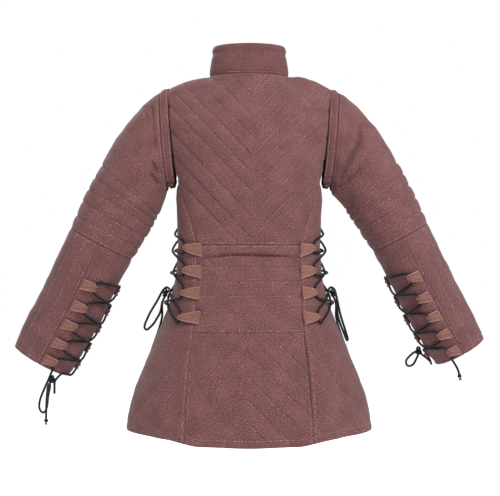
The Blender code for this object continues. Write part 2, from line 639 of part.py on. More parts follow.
def build_lace(name, route):
    """A round cord along its whole route."""
    points = smooth_route(route, 6 * CORD_DIAMETER)
    curve = bpy.data.curves.new(name, "CURVE")
    curve.dimensions = "3D"
    curve.bevel_depth = CORD_DIAMETER / 2
    curve.bevel_resolution = 2
    curve.use_fill_caps = True
    line = curve.splines.new("POLY")
    line.points.add(len(points) - 1)
    for knot, point in zip(line.points, points):
        knot.co = (*point, 1.0)
    curve.materials.append(finish(name, NEAR_BLACK, 0.75))
    lace = bpy.data.objects.new(name, curve)
    GARMENT.objects.link(lace)
    return lace


def over_waist(name, stops):
    """Route stops over the laced side of the waist, as points."""
    return [waist_gap_point(name, *stop) for stop in stops]


def over_sleeve(name, stops):
    """Route stops over the laced side of a forearm, as points."""
    return [sleeve_gap_point(name, *stop) for stop in stops]


def in_the_open(name, stops):
    """Hanging stops, as points on their own side."""
    return [mirrored(stop, SIDES[name][0]) for stop in stops]


def build_lacing(name):
    """Loops beside each laced gap, and the two laces of one side."""
    for front, rows in ((False, WAIST_LOOPS_BACK), (True, WAIST_LOOPS_FRONT)):
        for at, (height, share) in enumerate(rows, 1):
            label = "front" if front else "back"
            build_loop(f"waist_loop_{label}_{name}_{at}", waist_gap_point, name, front, height, share, -0.01)
    for front, rows in ((False, SLEEVE_LOOPS_BACK), (True, SLEEVE_LOOPS_FRONT)):
        for at, station in enumerate(rows, 1):
            label = "front" if front else "back"
            share = 1 - SLEEVE_EYE if front else SLEEVE_EYE
            loop_name = f"sleeve_loop_{label}_{name}_{at}"
            build_loop(loop_name, sleeve_gap_point, name, front, station, share, 0.12)
    if name == "left":
        build_lace("waist_lace_left", over_waist(name, WAIST_LACE_LEFT))
        route = in_the_open(name, LEFT_SHORT_END) + over_sleeve(name, SLEEVE_LACE_LEFT)
        build_lace("sleeve_lace_left", route + in_the_open(name, LEFT_LOOP_AND_END))
    else:
        build_lace("waist_lace_right", over_waist(name, WAIST_LACE_RIGHT))
        route = in_the_open(name, RIGHT_LONG_END) + over_sleeve(name, SLEEVE_LACE_RIGHT)
        build_lace("sleeve_lace_right", route + in_the_open(name, RIGHT_LOOP))


# ---------------------------------------------------------------- buttons
def build_button(number, height):
    """A plain covered button on the lap."""
    bpy.ops.mesh.primitive_uv_sphere_add(segments=12, ring_count=7, radius=BUTTON_RADIUS)
    button = bpy.context.object
    button.name = f"button_{number}"
    button.data.name = button.name
    button.scale = (1.0, 0.42, 1.0)
    button.location = (BUTTON_X, front_face(height) - BUTTON_STAND, height)
    bpy.ops.object.shade_smooth()
    button.data.materials.append(finish(button.name, MADDER_LIGHT, 0.9))
    for group in list(button.users_collection):
        group.objects.unlink(button)
    GARMENT.objects.link(button)


def front_face(height):
    """How far forward the lapped front reaches at a height, at the centre line."""
    heights = np.array([row[1] for row in FRONT_YOKE][::-1])
    depths = np.array([row[2] for row in FRONT_YOKE][::-1])
    if height > TORSO_HEIGHTS[-1]:
        stations = np.concatenate(([TORSO_HEIGHTS[-1]], heights))
        values = np.concatenate(([-torso_sizes(TORSO_HEIGHTS[-1])[2]], depths))
        return column_at(stations, values, height) - LAP_LIFT
    return -torso_sizes(height)[2] - LAP_LIFT


clear_scene()
GARMENT = parts_collection()
build_back()
build_collar()
for side_name, (direction, _, _) in SIDES.items():
    build_side(f"side_{side_name}", direction)
    build_front(f"front_{side_name}", direction)
    build_strip(side_name)
    build_sleeve(side_name)
    build_lacing(side_name)
for button_number, button_height in enumerate(BUTTON_HEIGHTS, 1):
    build_button(button_number, button_height)
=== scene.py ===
# %% [markdown]
# # A laced gambeson, made up over its frame
# A gambeson is a padded coat: two faces of canvas with batting between, held together by lines
# of quilting. This one is filled out as if worn, with laces at the waist and along the forearms.
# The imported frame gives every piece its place, so the first step is to load it.

# %% Load the frame
import math
import random

import bmesh
import bpy
import numpy as np
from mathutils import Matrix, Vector
from mathutils.bvhtree import BVHTree
from mathutils.kdtree import KDTree


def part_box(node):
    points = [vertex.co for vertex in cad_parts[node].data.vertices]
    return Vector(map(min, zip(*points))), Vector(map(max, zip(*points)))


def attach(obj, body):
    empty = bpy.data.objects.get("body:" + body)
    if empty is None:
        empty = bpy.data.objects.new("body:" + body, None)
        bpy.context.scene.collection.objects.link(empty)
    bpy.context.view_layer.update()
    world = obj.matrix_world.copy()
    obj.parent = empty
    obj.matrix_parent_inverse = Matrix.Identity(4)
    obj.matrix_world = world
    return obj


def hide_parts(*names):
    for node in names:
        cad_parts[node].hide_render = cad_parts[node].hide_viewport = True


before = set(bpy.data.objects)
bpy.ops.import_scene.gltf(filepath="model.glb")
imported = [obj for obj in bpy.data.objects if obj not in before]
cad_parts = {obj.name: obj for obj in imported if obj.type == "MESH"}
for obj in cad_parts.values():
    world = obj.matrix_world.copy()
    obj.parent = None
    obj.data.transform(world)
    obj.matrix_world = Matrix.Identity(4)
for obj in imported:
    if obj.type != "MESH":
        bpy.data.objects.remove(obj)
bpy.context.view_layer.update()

# %% [markdown]
# ## The camera
# The garment is seen squarely from behind, from a few paces away, at about the height of its
# waist. A real lens length keeps the slight swelling of the parts that stand nearest.

# %% Camera
def placed(name, data):
    """An object made from its data and put in the scene."""
    made = bpy.data.objects.new(name, data)
    bpy.context.scene.collection.objects.link(made)
    return made


camera_data = bpy.data.cameras.new("studio_camera")
camera_data.sensor_width = 36.0
camera_data.lens = 72.7
camera = placed("studio_camera", camera_data)
camera.location = (-0.002, 2.2, -0.3706)
camera.rotation_euler = (math.pi / 2, 0.0, math.pi)
bpy.context.scene.camera = camera
print("camera at", tuple(camera.location))

# %% [markdown]
# ## The body's form, as tables
# A tailor knows a body by its girths. Each row below is one section: height, half width, how far
# it reaches back and forward, how square its outline is, and where the side seams lie. A smooth
# curve is read between the rows, which is easier to correct than a sculpted mesh.

# %% Sections of the body and sleeves
TORSO = np.array([
    # height, half width, back, front, squareness, back seam across, front seam degrees
    (-0.225, 0.1585, 0.110, 0.136, 2.70, 0.1535, -24),
    (-0.260, 0.1575, 0.104, 0.132, 2.60, 0.1440, -28),
    (-0.295, 0.1560, 0.097, 0.122, 2.50, 0.1300, -31),
    (-0.330, 0.1550, 0.090, 0.114, 2.40, 0.1180, -32),
    (-0.364, 0.1540, 0.087, 0.110, 2.35, 0.1095, -32),
    (-0.405, 0.1565, 0.093, 0.112, 2.30, 0.1090, -32),
    (-0.440, 0.1600, 0.104, 0.120, 2.30, 0.1100, -32),
    (-0.480, 0.1700, 0.121, 0.131, 2.25, 0.1110, -33),
    (-0.520, 0.1840, 0.138, 0.143, 2.20, 0.1120, -34),
    (-0.543, 0.1935, 0.147, 0.150, 2.20, 0.1140, -35),
    (-0.600, 0.2155, 0.166, 0.164, 2.15, 0.1210, -37),
    (-0.650, 0.2350, 0.180, 0.174, 2.10, 0.1240, -38),
    (-0.700, 0.2515, 0.191, 0.182, 2.10, 0.1265, -39),
    (-0.768, 0.2640, 0.201, 0.190, 2.10, 0.1290, -40),
])[::-1]
YOKE = {
    # height and reach at the middle, then the armhole edge's place, and how full the curve is
    1: ((-0.058, 0.088, 0.1720, 0.048, -0.064, 2.2), (-0.122, 0.110, 0.1670, 0.062, -0.125, 2.3),
        (-0.182, 0.114, 0.1600, 0.052, -0.190, 2.5)),
    -1: ((-0.070, -0.096, 0.1710, -0.050, -0.064, 2.2), (-0.128, -0.124, 0.1640, -0.066, -0.125, 2.3),
         (-0.184, -0.140, 0.1580, -0.056, -0.190, 2.5)),
}
SLEEVE = np.array([
    # outer edge across and height, inner edge across and height, middle's reach back, half depth
    (0.1785, -0.0245, 0.1600, -0.2440, 0.000, 0.064),
    (0.1960, -0.0330, 0.1760, -0.2460, 0.000, 0.068),
    (0.2350, -0.0680, 0.1820, -0.2550, 0.001, 0.075),
    (0.2740, -0.1130, 0.1900, -0.2670, 0.002, 0.077),
    (0.3100, -0.1700, 0.2010, -0.2860, 0.003, 0.075),
    (0.3470, -0.2360, 0.2190, -0.3190, 0.003, 0.072),
    (0.3870, -0.3200, 0.2640, -0.3860, 0.000, 0.069),
    (0.4200, -0.3860, 0.3000, -0.4500, -0.012, 0.067),
    (0.4570, -0.4540, 0.3360, -0.5190, -0.032, 0.065),
    (0.4935, -0.5155, 0.3740, -0.5830, -0.053, 0.0635),
    (0.5270, -0.5790, 0.4140, -0.6440, -0.075, 0.062),
])
# direction, how much wider the sleeve lies, how much lower it hangs
SIDES = {"left": (1, 0.008, 0.010), "right": (-1, -0.007, -0.008)}
NECK_HALF, NECK_BACK, NECK_FRONT, NECK_DIP, NECK_SHARE = 0.0865, 0.060, 0.072, 0.022, 0.50
SHOULDER_X, SHOULDER_DROP, RIGHT_SHOULDER_FULL = 0.1755, 0.026, 0.003
SHOULDER_CURVE, RIGHT_SHOULDER_CURVE = 1.8, 2.1
WAIST_Z, SKIRT_SEAM_Z, HEM_Z = -0.364, -0.543, -0.768
UNDERARM_Z, SIDE_TOP_Z, ARMHOLE_FOOT_Z = -0.250, -0.231, -0.225
HEM_RISE, SKIRT_WAVE, SKIRT_WAVES = 0.0105, 0.003, 9
HEM_SIDE_START, HEM_SIDE_SPAN = 0.45, 0.30
ELBOW, CUFF = 5.0, 9.0
GUSSET_BACK, GUSSET_FRONT = math.radians(-4), math.radians(-128)
LAP_REACH, LAP_TOP, LAP_LIFT = 0.018, -0.045, 0.0088
LAP_BEND, LAP_SOFT, LAP_SOFT_SPAN = 0.060, 0.070, 0.040
LAP_TOP_SPAN, LAP_RISE_SPAN = 0.03, 0.02
GAP = 0.0004
CLOTH_WALL, COLLAR_WALL, STRIP_WALL = 0.005, 0.006, 0.004
print("body sections", len(TORSO), "sleeve sections", len(SLEEVE))

# %% [markdown]
# A point of the garment is asked for by where it lies on the body: by height and direction on the
# trunk, by station and turn on a sleeve. The trunk's outline is a rounded square, since a padded
# coat is fuller at its corners than an ellipse.

# %% Points of the body and sleeves
def mix(start, end, share):
    """A value part of the way from start to end."""
    return start + (end - start) * share


def read_between(stations, values, at):
    """A smooth curve through a table column, read at one place or at many."""
    at = np.asarray(at, float)
    slopes = np.gradient(values, stations)
    row = np.clip(np.searchsorted(stations, at) - 1, 0, len(stations) - 2)
    span = stations[row + 1] - stations[row]
    t = (at - stations[row]) / span
    ends = values[row] * (2 * t**3 - 3 * t**2 + 1) + values[row + 1] * (3 * t**2 - 2 * t**3)
    return ends + (slopes[row] * (t**3 - 2 * t**2 + t) + slopes[row + 1] * (t**3 - t**2)) * span


def torso_sizes(height):
    """Half width, back, front, squareness, back seam and front seam at a height."""
    return [read_between(TORSO[:, 0], TORSO[:, column], height) for column in range(1, 7)]


def torso_point(height, turn, lift=0.0):
    """Points of the body's outer face; turn is 0 at the wearer's left side, 90 degrees behind."""
    half, back, front, square, _, _ = torso_sizes(height)
    power = 2.0 / square
    reach = np.where(np.sin(turn) > 0, back, front)
    across = half * np.sign(np.cos(turn)) * np.abs(np.cos(turn)) ** power
    deep = reach * np.sign(np.sin(turn)) * np.abs(np.sin(turn)) ** power
    grow = 1 + lift / np.hypot(across, deep)
    return np.stack(np.broadcast_arrays(across * grow, deep * grow, height), axis=-1)


def eased(share):
    """A share held between 0 and 1, with soft ends."""
    share = np.clip(share, 0.0, 1.0)
    return share * share * (3 - 2 * share)


def hung(points):
    """Hang the skirt: shorter towards the sides, and in soft waves that grow to its hem."""
    x, y, z = points[..., 0], points[..., 1], points[..., 2]
    length = np.hypot(x, y)
    aside = eased((np.abs(x) / length - HEM_SIDE_START) / HEM_SIDE_SPAN)
    down = np.maximum((SKIRT_SEAM_Z - z) / (SKIRT_SEAM_Z - HEM_Z), 0.0)
    wave = 1 + SKIRT_WAVE * down * np.sin(SKIRT_WAVES * np.arctan2(y, x)) / length
    return np.stack((x * wave, y * wave, z + HEM_RISE * aside * down), axis=-1)


def back_seam_turn(height):
    """Direction of the back side seam, on the wearer's left."""
    half, _, _, square, seam, _ = torso_sizes(height)
    return np.arccos((seam / half) ** (square / 2))


def front_seam_turn(height):
    """Direction of the front side seam, on the wearer's left."""
    return np.radians(torso_sizes(height)[5])


def sleeve_point(name, station, turn, lift=0.0):
    """Points of a sleeve's outer face; turn is 0 behind, 90 degrees on the outer edge."""
    side, wider, lower = SIDES[name]
    station, turn = np.asarray(station, float), np.asarray(turn, float)
    rows = np.arange(len(SLEEVE)) - 1.0
    read = [read_between(rows, SLEEVE[:, column], station) for column in range(6)]
    settle = np.clip((station - 1) / 3, 0, 1)
    hang = lower * station / CUFF
    inner_x, inner_z = read[2] - wider * settle, read[3] - hang - 0.5 * wider * settle
    outer_x, outer_z = read[0], read[1] - hang
    depth = read[5] - 0.5 * wider * settle
    out_x, out_z = (outer_x - inner_x) / 2 * np.sin(turn), (outer_z - inner_z) / 2 * np.sin(turn)
    out_y = depth * np.cos(turn)
    grow = 1 + lift / np.sqrt(out_x**2 + out_y**2 + out_z**2)
    x = ((outer_x + inner_x) / 2 + out_x * grow) * side
    y, z = read[4] + out_y * grow, (outer_z + inner_z) / 2 + out_z * grow
    return np.stack(np.broadcast_arrays(x, y, z), axis=-1)


print("waist half width", torso_sizes(WAIST_Z)[0], "cuff", sleeve_point("left", CUFF, math.pi / 2))

# %% [markdown]
# ## The laces
# A lace is a round braided cotton cord. It is threaded through one tape loop after another, down
# one edge of the gap and up the other, and its free ends are tied in a bow that hangs. Each
# route is a list of given stops: over a laced gap a stop is its share of the way
# across, its height or station, and how high it lies off the cloth.

# %% Routes of the laces
CORD = 0.0050
LOW, UNDER, HIGH = 0.0062, 0.0054, 0.0118
WAIST_CROSSING = (
    (0.61, -0.4670, HIGH), (0.74, -0.4640, 0.0085),
    (0.84, -0.4730, LOW), (0.84, -0.4950, LOW), (0.66, -0.4930, 0.0080), (0.45, -0.4850, HIGH),
    (0.29, -0.4800, 0.0090), (0.165, -0.4740, LOW), (0.165, -0.4520, LOW), (0.53, -0.4245, LOW),
    (0.81, -0.3970, LOW), (0.81, -0.3750, LOW), (0.53, -0.3770, LOW),
    (0.19, -0.3790, LOW), (0.19, -0.3570, LOW), (0.53, -0.3420, LOW),
    (0.80, -0.3270, LOW), (0.80, -0.3490, LOW), (0.53, -0.3770, HIGH),
    (0.18, -0.4050, LOW), (0.18, -0.4270, LOW), (0.53, -0.4245, HIGH),
    (0.825, -0.4220, LOW), (0.825, -0.4440, LOW), (0.60, -0.4720, LOW), (0.36, -0.5000, LOW),
    (0.15, -0.5250, LOW), (0.15, -0.5030, LOW), (0.34, -0.4800, LOW), (0.52, -0.4600, 0.0085),
)
WAIST_START = (
    (0.74, -0.5850, 0.0070), (0.745, -0.5500, 0.0075), (0.72, -0.5200, 0.0100),
    (0.66, -0.4960, 0.0160), (0.60, -0.4820, 0.0155),
)
WAIST_BOW = {
    "left": (
        (0.585, -0.4560, 0.0160), (0.630, -0.4640, 0.0235), (0.640, -0.4850, 0.0290),
        (0.640, -0.5150, 0.0360), (0.630, -0.5400, 0.0360), (0.600, -0.5480, 0.0270),
        (0.575, -0.5360, 0.0180), (0.560, -0.5080, 0.0130), (0.555, -0.4860, 0.0165),
    ),
    "right": (
        (0.585, -0.4560, 0.0160), (0.620, -0.4640, 0.0220), (0.620, -0.4850, 0.0210),
        (0.625, -0.5150, 0.0170), (0.630, -0.5480, 0.0140), (0.625, -0.5680, 0.0120),
        (0.590, -0.5700, 0.0080), (0.575, -0.5500, 0.0075), (0.570, -0.5200, 0.0095),
        (0.560, -0.4880, 0.0160),
    ),
}
SLEEVE_CROSSING = {
    "left": (
        (0.36, 8.90, 0.0080), (0.60, 8.92, LOW),
        (0.80, 8.76, LOW), (0.80, 8.44, LOW), (0.50, 8.35, UNDER), (0.20, 8.23, LOW), (0.20, 7.93, LOW),
        (0.50, 7.71, UNDER), (0.80, 7.49, LOW), (0.80, 7.19, LOW), (0.50, 7.07, UNDER),
        (0.20, 6.95, LOW), (0.20, 6.65, LOW), (0.50, 6.43, UNDER), (0.80, 6.21, LOW), (0.80, 5.91, LOW),
        (0.50, 5.90, LOW), (0.20, 6.01, LOW), (0.20, 6.31, LOW), (0.50, 6.43, HIGH),
        (0.80, 6.55, LOW), (0.80, 6.85, LOW), (0.50, 7.07, HIGH), (0.20, 7.29, LOW), (0.20, 7.59, LOW),
        (0.50, 7.71, HIGH), (0.80, 7.83, LOW), (0.80, 8.13, LOW), (0.50, 8.35, HIGH),
        (0.20, 8.55, LOW), (0.20, 8.85, LOW),
    ),
    "right": (
        (0.20, 8.86, LOW), (0.20, 8.55, LOW), (0.50, 8.34, UNDER), (0.80, 8.13, LOW), (0.80, 7.83, LOW),
        (0.50, 7.71, UNDER), (0.20, 7.59, LOW), (0.20, 7.29, LOW), (0.50, 7.07, UNDER),
        (0.80, 6.85, LOW), (0.80, 6.55, LOW), (0.50, 6.43, UNDER), (0.20, 6.31, LOW), (0.20, 6.01, LOW),
        (0.50, 5.90, LOW), (0.80, 5.91, LOW), (0.80, 6.21, LOW), (0.50, 6.43, HIGH),
        (0.20, 6.65, LOW), (0.20, 6.95, LOW), (0.50, 7.07, HIGH), (0.80, 7.19, LOW), (0.80, 7.49, LOW),
        (0.50, 7.71, HIGH), (0.20, 7.93, LOW), (0.20, 8.23, LOW), (0.50, 8.34, HIGH),
        (0.80, 8.44, LOW), (0.80, 8.76, LOW), (0.72, 8.92, 0.0080), (0.64, 8.80, 0.0090),
        (0.63, 8.60, 0.0130),
    ),
}
# stops in the open, beside the wearer's left; mirrored for the right
SLEEVE_START = {
    "left": ((0.4270, -0.0150, -0.6900), (0.4270, -0.0160, -0.6750), (0.4265, -0.0180, -0.6620)),
    "right": ((0.4610, -0.0100, -0.6520), (0.4560, -0.0120, -0.6340)),
}
SLEEVE_BOW = {
    "left": (
        (0.4400, -0.0120, -0.6600), (0.4480, -0.0120, -0.6780), (0.4580, -0.0130, -0.7020),
        (0.4600, -0.0135, -0.7230), (0.4510, -0.0135, -0.7330), (0.4430, -0.0130, -0.7200),
        (0.4400, -0.0110, -0.6950), (0.4350, -0.0070, -0.6740), (0.4340, -0.0010, -0.6640),
        (0.4370, 0.0050, -0.6700), (0.4395, 0.0050, -0.6900), (0.4415, 0.0020, -0.7200),
        (0.4425, -0.0010, -0.7480),
    ),
    "right": (
        (0.3760, -0.0640, -0.6030), (0.3620, -0.0640, -0.6110), (0.3520, -0.0650, -0.6240),
        (0.3560, -0.0660, -0.6350), (0.3680, -0.0670, -0.6320), (0.3760, -0.0690, -0.6190),
        (0.3820, -0.0730, -0.6080),
    ),
}

# %% [markdown]
# The stops become places in space, and one more is added in each long gap. A smooth curve is then
# run through them all, so that the lace hangs in soft turns between its loops.

# %% From stops to smooth lines
def waist_gap_point(name, share, height, lift):
    """A point over the side panel; share runs from the back seam to the front seam."""
    turn = mix(back_seam_turn(height), front_seam_turn(height), share)
    return torso_point(height, turn, lift) * (SIDES[name][0], 1, 1)


def sleeve_gap_point(name, share, station, lift):
    """A point over the forearm gusset; share runs from the back seam to the front seam."""
    return sleeve_point(name, station, mix(GUSSET_BACK, GUSSET_FRONT, share), lift)


def in_the_open(name, stops):
    """Hanging stops, as points on their own side."""
    return [np.array(stop) * (SIDES[name][0], 1, 1) for stop in stops]


def filled(points, spacing):
    """The stops, with one more on the smooth curve through them in each long gap."""
    padded = [2 * points[0] - points[1], *points, 2 * points[-1] - points[-2]]
    line = []
    for p0, p1, p2, p3 in zip(padded, padded[1:], padded[2:], padded[3:]):
        line.append(p1)
        if np.linalg.norm(p2 - p1) > spacing:
            line.append((p1 + p2) * 0.5625 - (p0 + p3) * 0.0625)
    return [*line, points[-1]]


def rounded(points, step=0.003):
    """Many points on a smooth curve through the given ones."""
    points = [np.array(point, float) for point in points]
    padded = [2 * points[0] - points[1], *points, 2 * points[-1] - points[-2]]
    line = []
    for p0, p1, p2, p3 in zip(padded, padded[1:], padded[2:], padded[3:]):
        count = max(int(np.linalg.norm(p2 - p1) / step), 1)
        for t in np.arange(count) / count:
            lean_in, lean_out = (p2 - p0) / 2, (p3 - p1) / 2
            line.append(p1 * (2 * t**3 - 3 * t**2 + 1) + p2 * (3 * t**2 - 2 * t**3)
                        + lean_in * (t**3 - 2 * t**2 + t) + lean_out * (t**3 - t**2))
    return [*line, points[-1]]


def lace_length(points):
    """Length of a cord along its points."""
    return float(sum(np.linalg.norm(b - a) for a, b in zip(points, points[1:])))


LONG_GAP = 6 * CORD
routes = {}
for name in SIDES:
    stops = WAIST_START + WAIST_CROSSING + WAIST_BOW[name]
    routes[f"waist_lace_{name}"] = filled([waist_gap_point(name, *stop) for stop in stops], LONG_GAP)
    laced = [sleeve_gap_point(name, *stop) for stop in SLEEVE_CROSSING[name]]
    hanging = in_the_open(name, SLEEVE_START[name]) + laced + in_the_open(name, SLEEVE_BOW[name])
    routes[f"sleeve_lace_{name}"] = filled(hanging, LONG_GAP)
for name, points in routes.items():
    print(name, len(points), "points, length", round(lace_length(points), 3))

# %% [markdown]
# ## Finishes
# The canvas is heathered: pinkish and near-black fibres are spun into the same madder-brown
# yarn, so from a pace away the colour shimmers in specks about a yarn wide. Noise stretched
# along the two yarn directions gives those specks, and the same noise lifts the surface a
# little. The finish reads lengths along the cloth in metres, so every panel has one scale.

# %% Helpers for finishes
def new_material(name, roughness, sheen=0.0):
    """A matt finish: the material, its nodes, its links and its shader."""
    material = bpy.data.materials.new(name)
    material.use_nodes = True
    nodes, links = material.node_tree.nodes, material.node_tree.links
    shader = nodes["Principled BSDF"]
    shader.inputs["Roughness"].default_value = roughness
    shader.inputs["Sheen Weight"].default_value = sheen
    shader.inputs["Sheen Roughness"].default_value = 0.6
    shader.inputs["Specular IOR Level"].default_value = 0.15
    return material, nodes, links, shader


def noise(nodes, links, coords, stretch, scale, detail=2.0, rough=0.55):
    """A noise pattern on cloth coordinates, longer along one yarn than along the other."""
    mapping = nodes.new("ShaderNodeMapping")
    mapping.inputs["Scale"].default_value = stretch
    texture = nodes.new("ShaderNodeTexNoise")
    texture.inputs["Scale"].default_value = scale
    texture.inputs["Detail"].default_value = detail
    texture.inputs["Roughness"].default_value = rough
    links.new(coords, mapping.inputs["Vector"])
    links.new(mapping.outputs["Vector"], texture.inputs["Vector"])
    return texture.outputs["Fac"]


def blended(nodes, links, kind, factor, first, second):
    """Mix two colours by a factor; each may be a constant or come from another node."""
    node = nodes.new("ShaderNodeMix")
    node.data_type = "RGBA"
    node.blend_type = kind
    for socket, value in ((node.inputs[0], factor), (node.inputs[6], first), (node.inputs[7], second)):
        if hasattr(value, "links"):
            links.new(value, socket)
        else:
            socket.default_value = value
    return node.outputs[2]


def ramp(nodes, links, value, stops):
    """Colours along a value."""
    node = nodes.new("ShaderNodeValToRGB")
    marks = node.color_ramp.elements
    while len(marks) < len(stops):
        marks.new(0.5)
    for mark, (place, colour) in zip(marks, stops):
        mark.position = place
        mark.color = (*colour, 1.0)
    links.new(value, node.inputs["Fac"])
    return node.outputs["Color"]


def bumped(nodes, links, shader, height, distance, strength):
    """Lift the surface by a value."""
    bump = nodes.new("ShaderNodeBump")
    bump.inputs["Distance"].default_value = distance
    bump.inputs["Strength"].default_value = strength
    links.new(height, bump.inputs["Height"])
    links.new(bump.outputs["Normal"], shader.inputs["Normal"])


def shade(colour, by):
    """A lighter or darker version of a colour."""
    return tuple(channel * by for channel in colour)


def woven(name, colour, fleck, dark, roughness=0.93, sheen=0.05, scale=1.0):
    """A heathered woven cloth."""
    material, nodes, links, shader = new_material(name, roughness, sheen)
    coords = nodes.new("ShaderNodeTexCoord").outputs["UV"]
    warp = noise(nodes, links, coords, (1.7, 0.75, 1.0), 430 * scale)
    weft = noise(nodes, links, coords, (0.75, 1.7, 1.0), 390 * scale)
    wear = noise(nodes, links, coords, (1.0, 1.0, 1.0), 16 * scale, 3.0)
    yarn = blended(nodes, links, "MIX", 0.5, warp, weft)
    specks = ((0.39, dark), (0.47, shade(colour, 0.78)), (0.53, colour), (0.63, fleck))
    body = ramp(nodes, links, yarn, specks)
    cloudy = ramp(nodes, links, wear, ((0.35, (0.76, 0.74, 0.74)), (0.65, (1.0, 1.0, 1.0))))
    links.new(blended(nodes, links, "MULTIPLY", 1.0, body, cloudy), shader.inputs["Base Color"])
    bumped(nodes, links, shader, yarn, 0.0009, 0.55)
    return material


MADDER = (0.096, 0.0345, 0.0355)
canvas = woven("heathered_canvas", MADDER, (0.290, 0.145, 0.145), (0.010, 0.003, 0.003), scale=1.4)
collar_canvas = woven("collar_canvas", shade(MADDER, 0.92), (0.210, 0.098, 0.098), (0.014, 0.005, 0.005),
                      scale=1.5)
tape_cloth = woven("folded_tape", (0.135, 0.058, 0.046), (0.250, 0.130, 0.105), (0.036, 0.014, 0.011),
                   roughness=0.88, scale=1.1)
thread = woven("stitching_thread", (0.285, 0.158, 0.148), (0.560, 0.400, 0.380), (0.100, 0.045, 0.042),
               roughness=0.8, scale=0.4)


def braided(name):
    """A near-black braided cord, whose strands slant one way and then the other."""
    material, nodes, links, shader = new_material(name, 0.78, 0.0)
    coords = nodes.new("ShaderNodeTexCoord").outputs["Object"]
    fibres = noise(nodes, links, coords, (1.0, 1.0, 1.0), 900, 2.0)
    strands = noise(nodes, links, coords, (1.0, 1.0, 1.6), 320, 1.0)
    both = blended(nodes, links, "MIX", 0.5, fibres, strands)
    blacks = ((0.35, (0.003, 0.003, 0.003)), (0.55, (0.008, 0.008, 0.009)), (0.70, (0.026, 0.028, 0.031)))
    colour = ramp(nodes, links, both, blacks)
    links.new(colour, shader.inputs["Base Color"])
    bumped(nodes, links, shader, both, 0.0008, 0.7)
    return material


cord_finish = braided("braided_cord")
print("finishes", [material.name for material in (canvas, collar_canvas, tape_cloth, thread, cord_finish)])

# %% [markdown]
# A lace is a curve with a round section: the curve can be measured as one length of cord, and
# it stays smooth where it turns through a loop.

# %% Laces, knots and frayed ends
def cord_piece(name, points, radius=CORD / 2, closed=False):
    """A round cord along points."""
    curve = bpy.data.curves.new(name, "CURVE")
    curve.dimensions = "3D"
    curve.bevel_depth = radius
    curve.bevel_resolution = 3
    curve.use_fill_caps = True
    line = curve.splines.new("POLY")
    line.points.add(len(points) - 1)
    for mark, point in zip(line.points, points):
        mark.co = (*point, 1.0)
    line.use_cyclic_u = closed
    line.use_smooth = True
    curve.materials.append(cord_finish)
    piece = placed(name, curve)
    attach(piece, "root")
    return piece


def knot(name, centre, out, size):
    """An overhand knot pulled snug: a trefoil facing outward."""
    out = np.array(out, float) / np.linalg.norm(out)
    down = np.array((0.0, 0.0, -1.0)) - out * -out[2]
    down /= np.linalg.norm(down)
    across = np.cross(out, down)
    turns = np.arange(36) * math.tau / 36
    points = []
    for t in turns:
        a, b, c = math.sin(t) + 2 * math.sin(2 * t), math.cos(t) - 2 * math.cos(2 * t), -math.sin(3 * t)
        points.append(np.array(centre) + size * (across * a * 0.8 + down * b + out * c * 1.1))
    return cord_piece(name, points, CORD * 0.46, closed=True)


def tassel(name, start, way, length, spread, strands=14):
    """The cord's own strands, teased apart below its last knot."""
    draw = random.Random(7)
    shape = bmesh.new()
    way = np.array(way, float) / np.linalg.norm(way)
    side = np.cross(way, (0.0, 1.0, 0.0))
    side /= np.linalg.norm(side)
    other = np.cross(way, side)
    for at in range(strands):
        angle = math.tau * at / strands
        lean = (side * math.cos(angle) + other * math.sin(angle)) * spread * draw.uniform(0.3, 1.0)
        reach = length * draw.uniform(0.7, 1.0)
        rings = []
        for step in np.linspace(0, 1, 5):
            middle = np.array(start) + way * reach * step + lean * step**1.4
            size = 0.0007 * (1 - 0.5 * step)
            ring = [shape.verts.new(middle + size * (side * math.cos(a) + other * math.sin(a)))
                    for a in np.arange(5) * math.tau / 5]
            rings.append(ring)
        for upper, lower in zip(rings, rings[1:]):
            for k in range(5):
                shape.faces.new((upper[k], upper[(k + 1) % 5], lower[(k + 1) % 5], lower[k]))
        shape.faces.new(rings[0][::-1])
        shape.faces.new(rings[-1])
    bmesh.ops.recalc_face_normals(shape, faces=shape.faces)
    mesh = bpy.data.meshes.new(name)
    shape.to_mesh(mesh)
    shape.free()
    mesh.materials.append(cord_finish)
    piece = placed(name, mesh)
    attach(piece, "root")
    return piece


def limp(points, times=5):
    """Let a cord's sharpest turns open a little, as a limp braid does."""
    points = np.array(points, float)
    for _ in range(times):
        points[1:-1] = 0.5 * points[1:-1] + 0.25 * (points[:-2] + points[2:])
    return points

# %% [markdown]
# Each lace is one curve, so that its length can be read along it. Its knots and frayed ends ride
# with it. The waist laces end in bows; the sleeve laces are knotted at the cuff and left to hang.

# %% Thread the laces
WAIST_KNOT, WAIST_KNOT_SIZE = (0.585, -0.468, 0.0165), 0.0030
for name in SIDES:
    points = rounded(routes[f"waist_lace_{name}"])
    lace = cord_piece(f"waist_cord_{name}", points)
    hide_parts(f"waist_lace_{name}")
    middle = waist_gap_point(name, *WAIST_KNOT)
    tied = knot(f"waist_knot_{name}", middle, middle - (0, 0, WAIST_KNOT[1]), WAIST_KNOT_SIZE)
    print(lace.name, round(lace_length(points), 3))

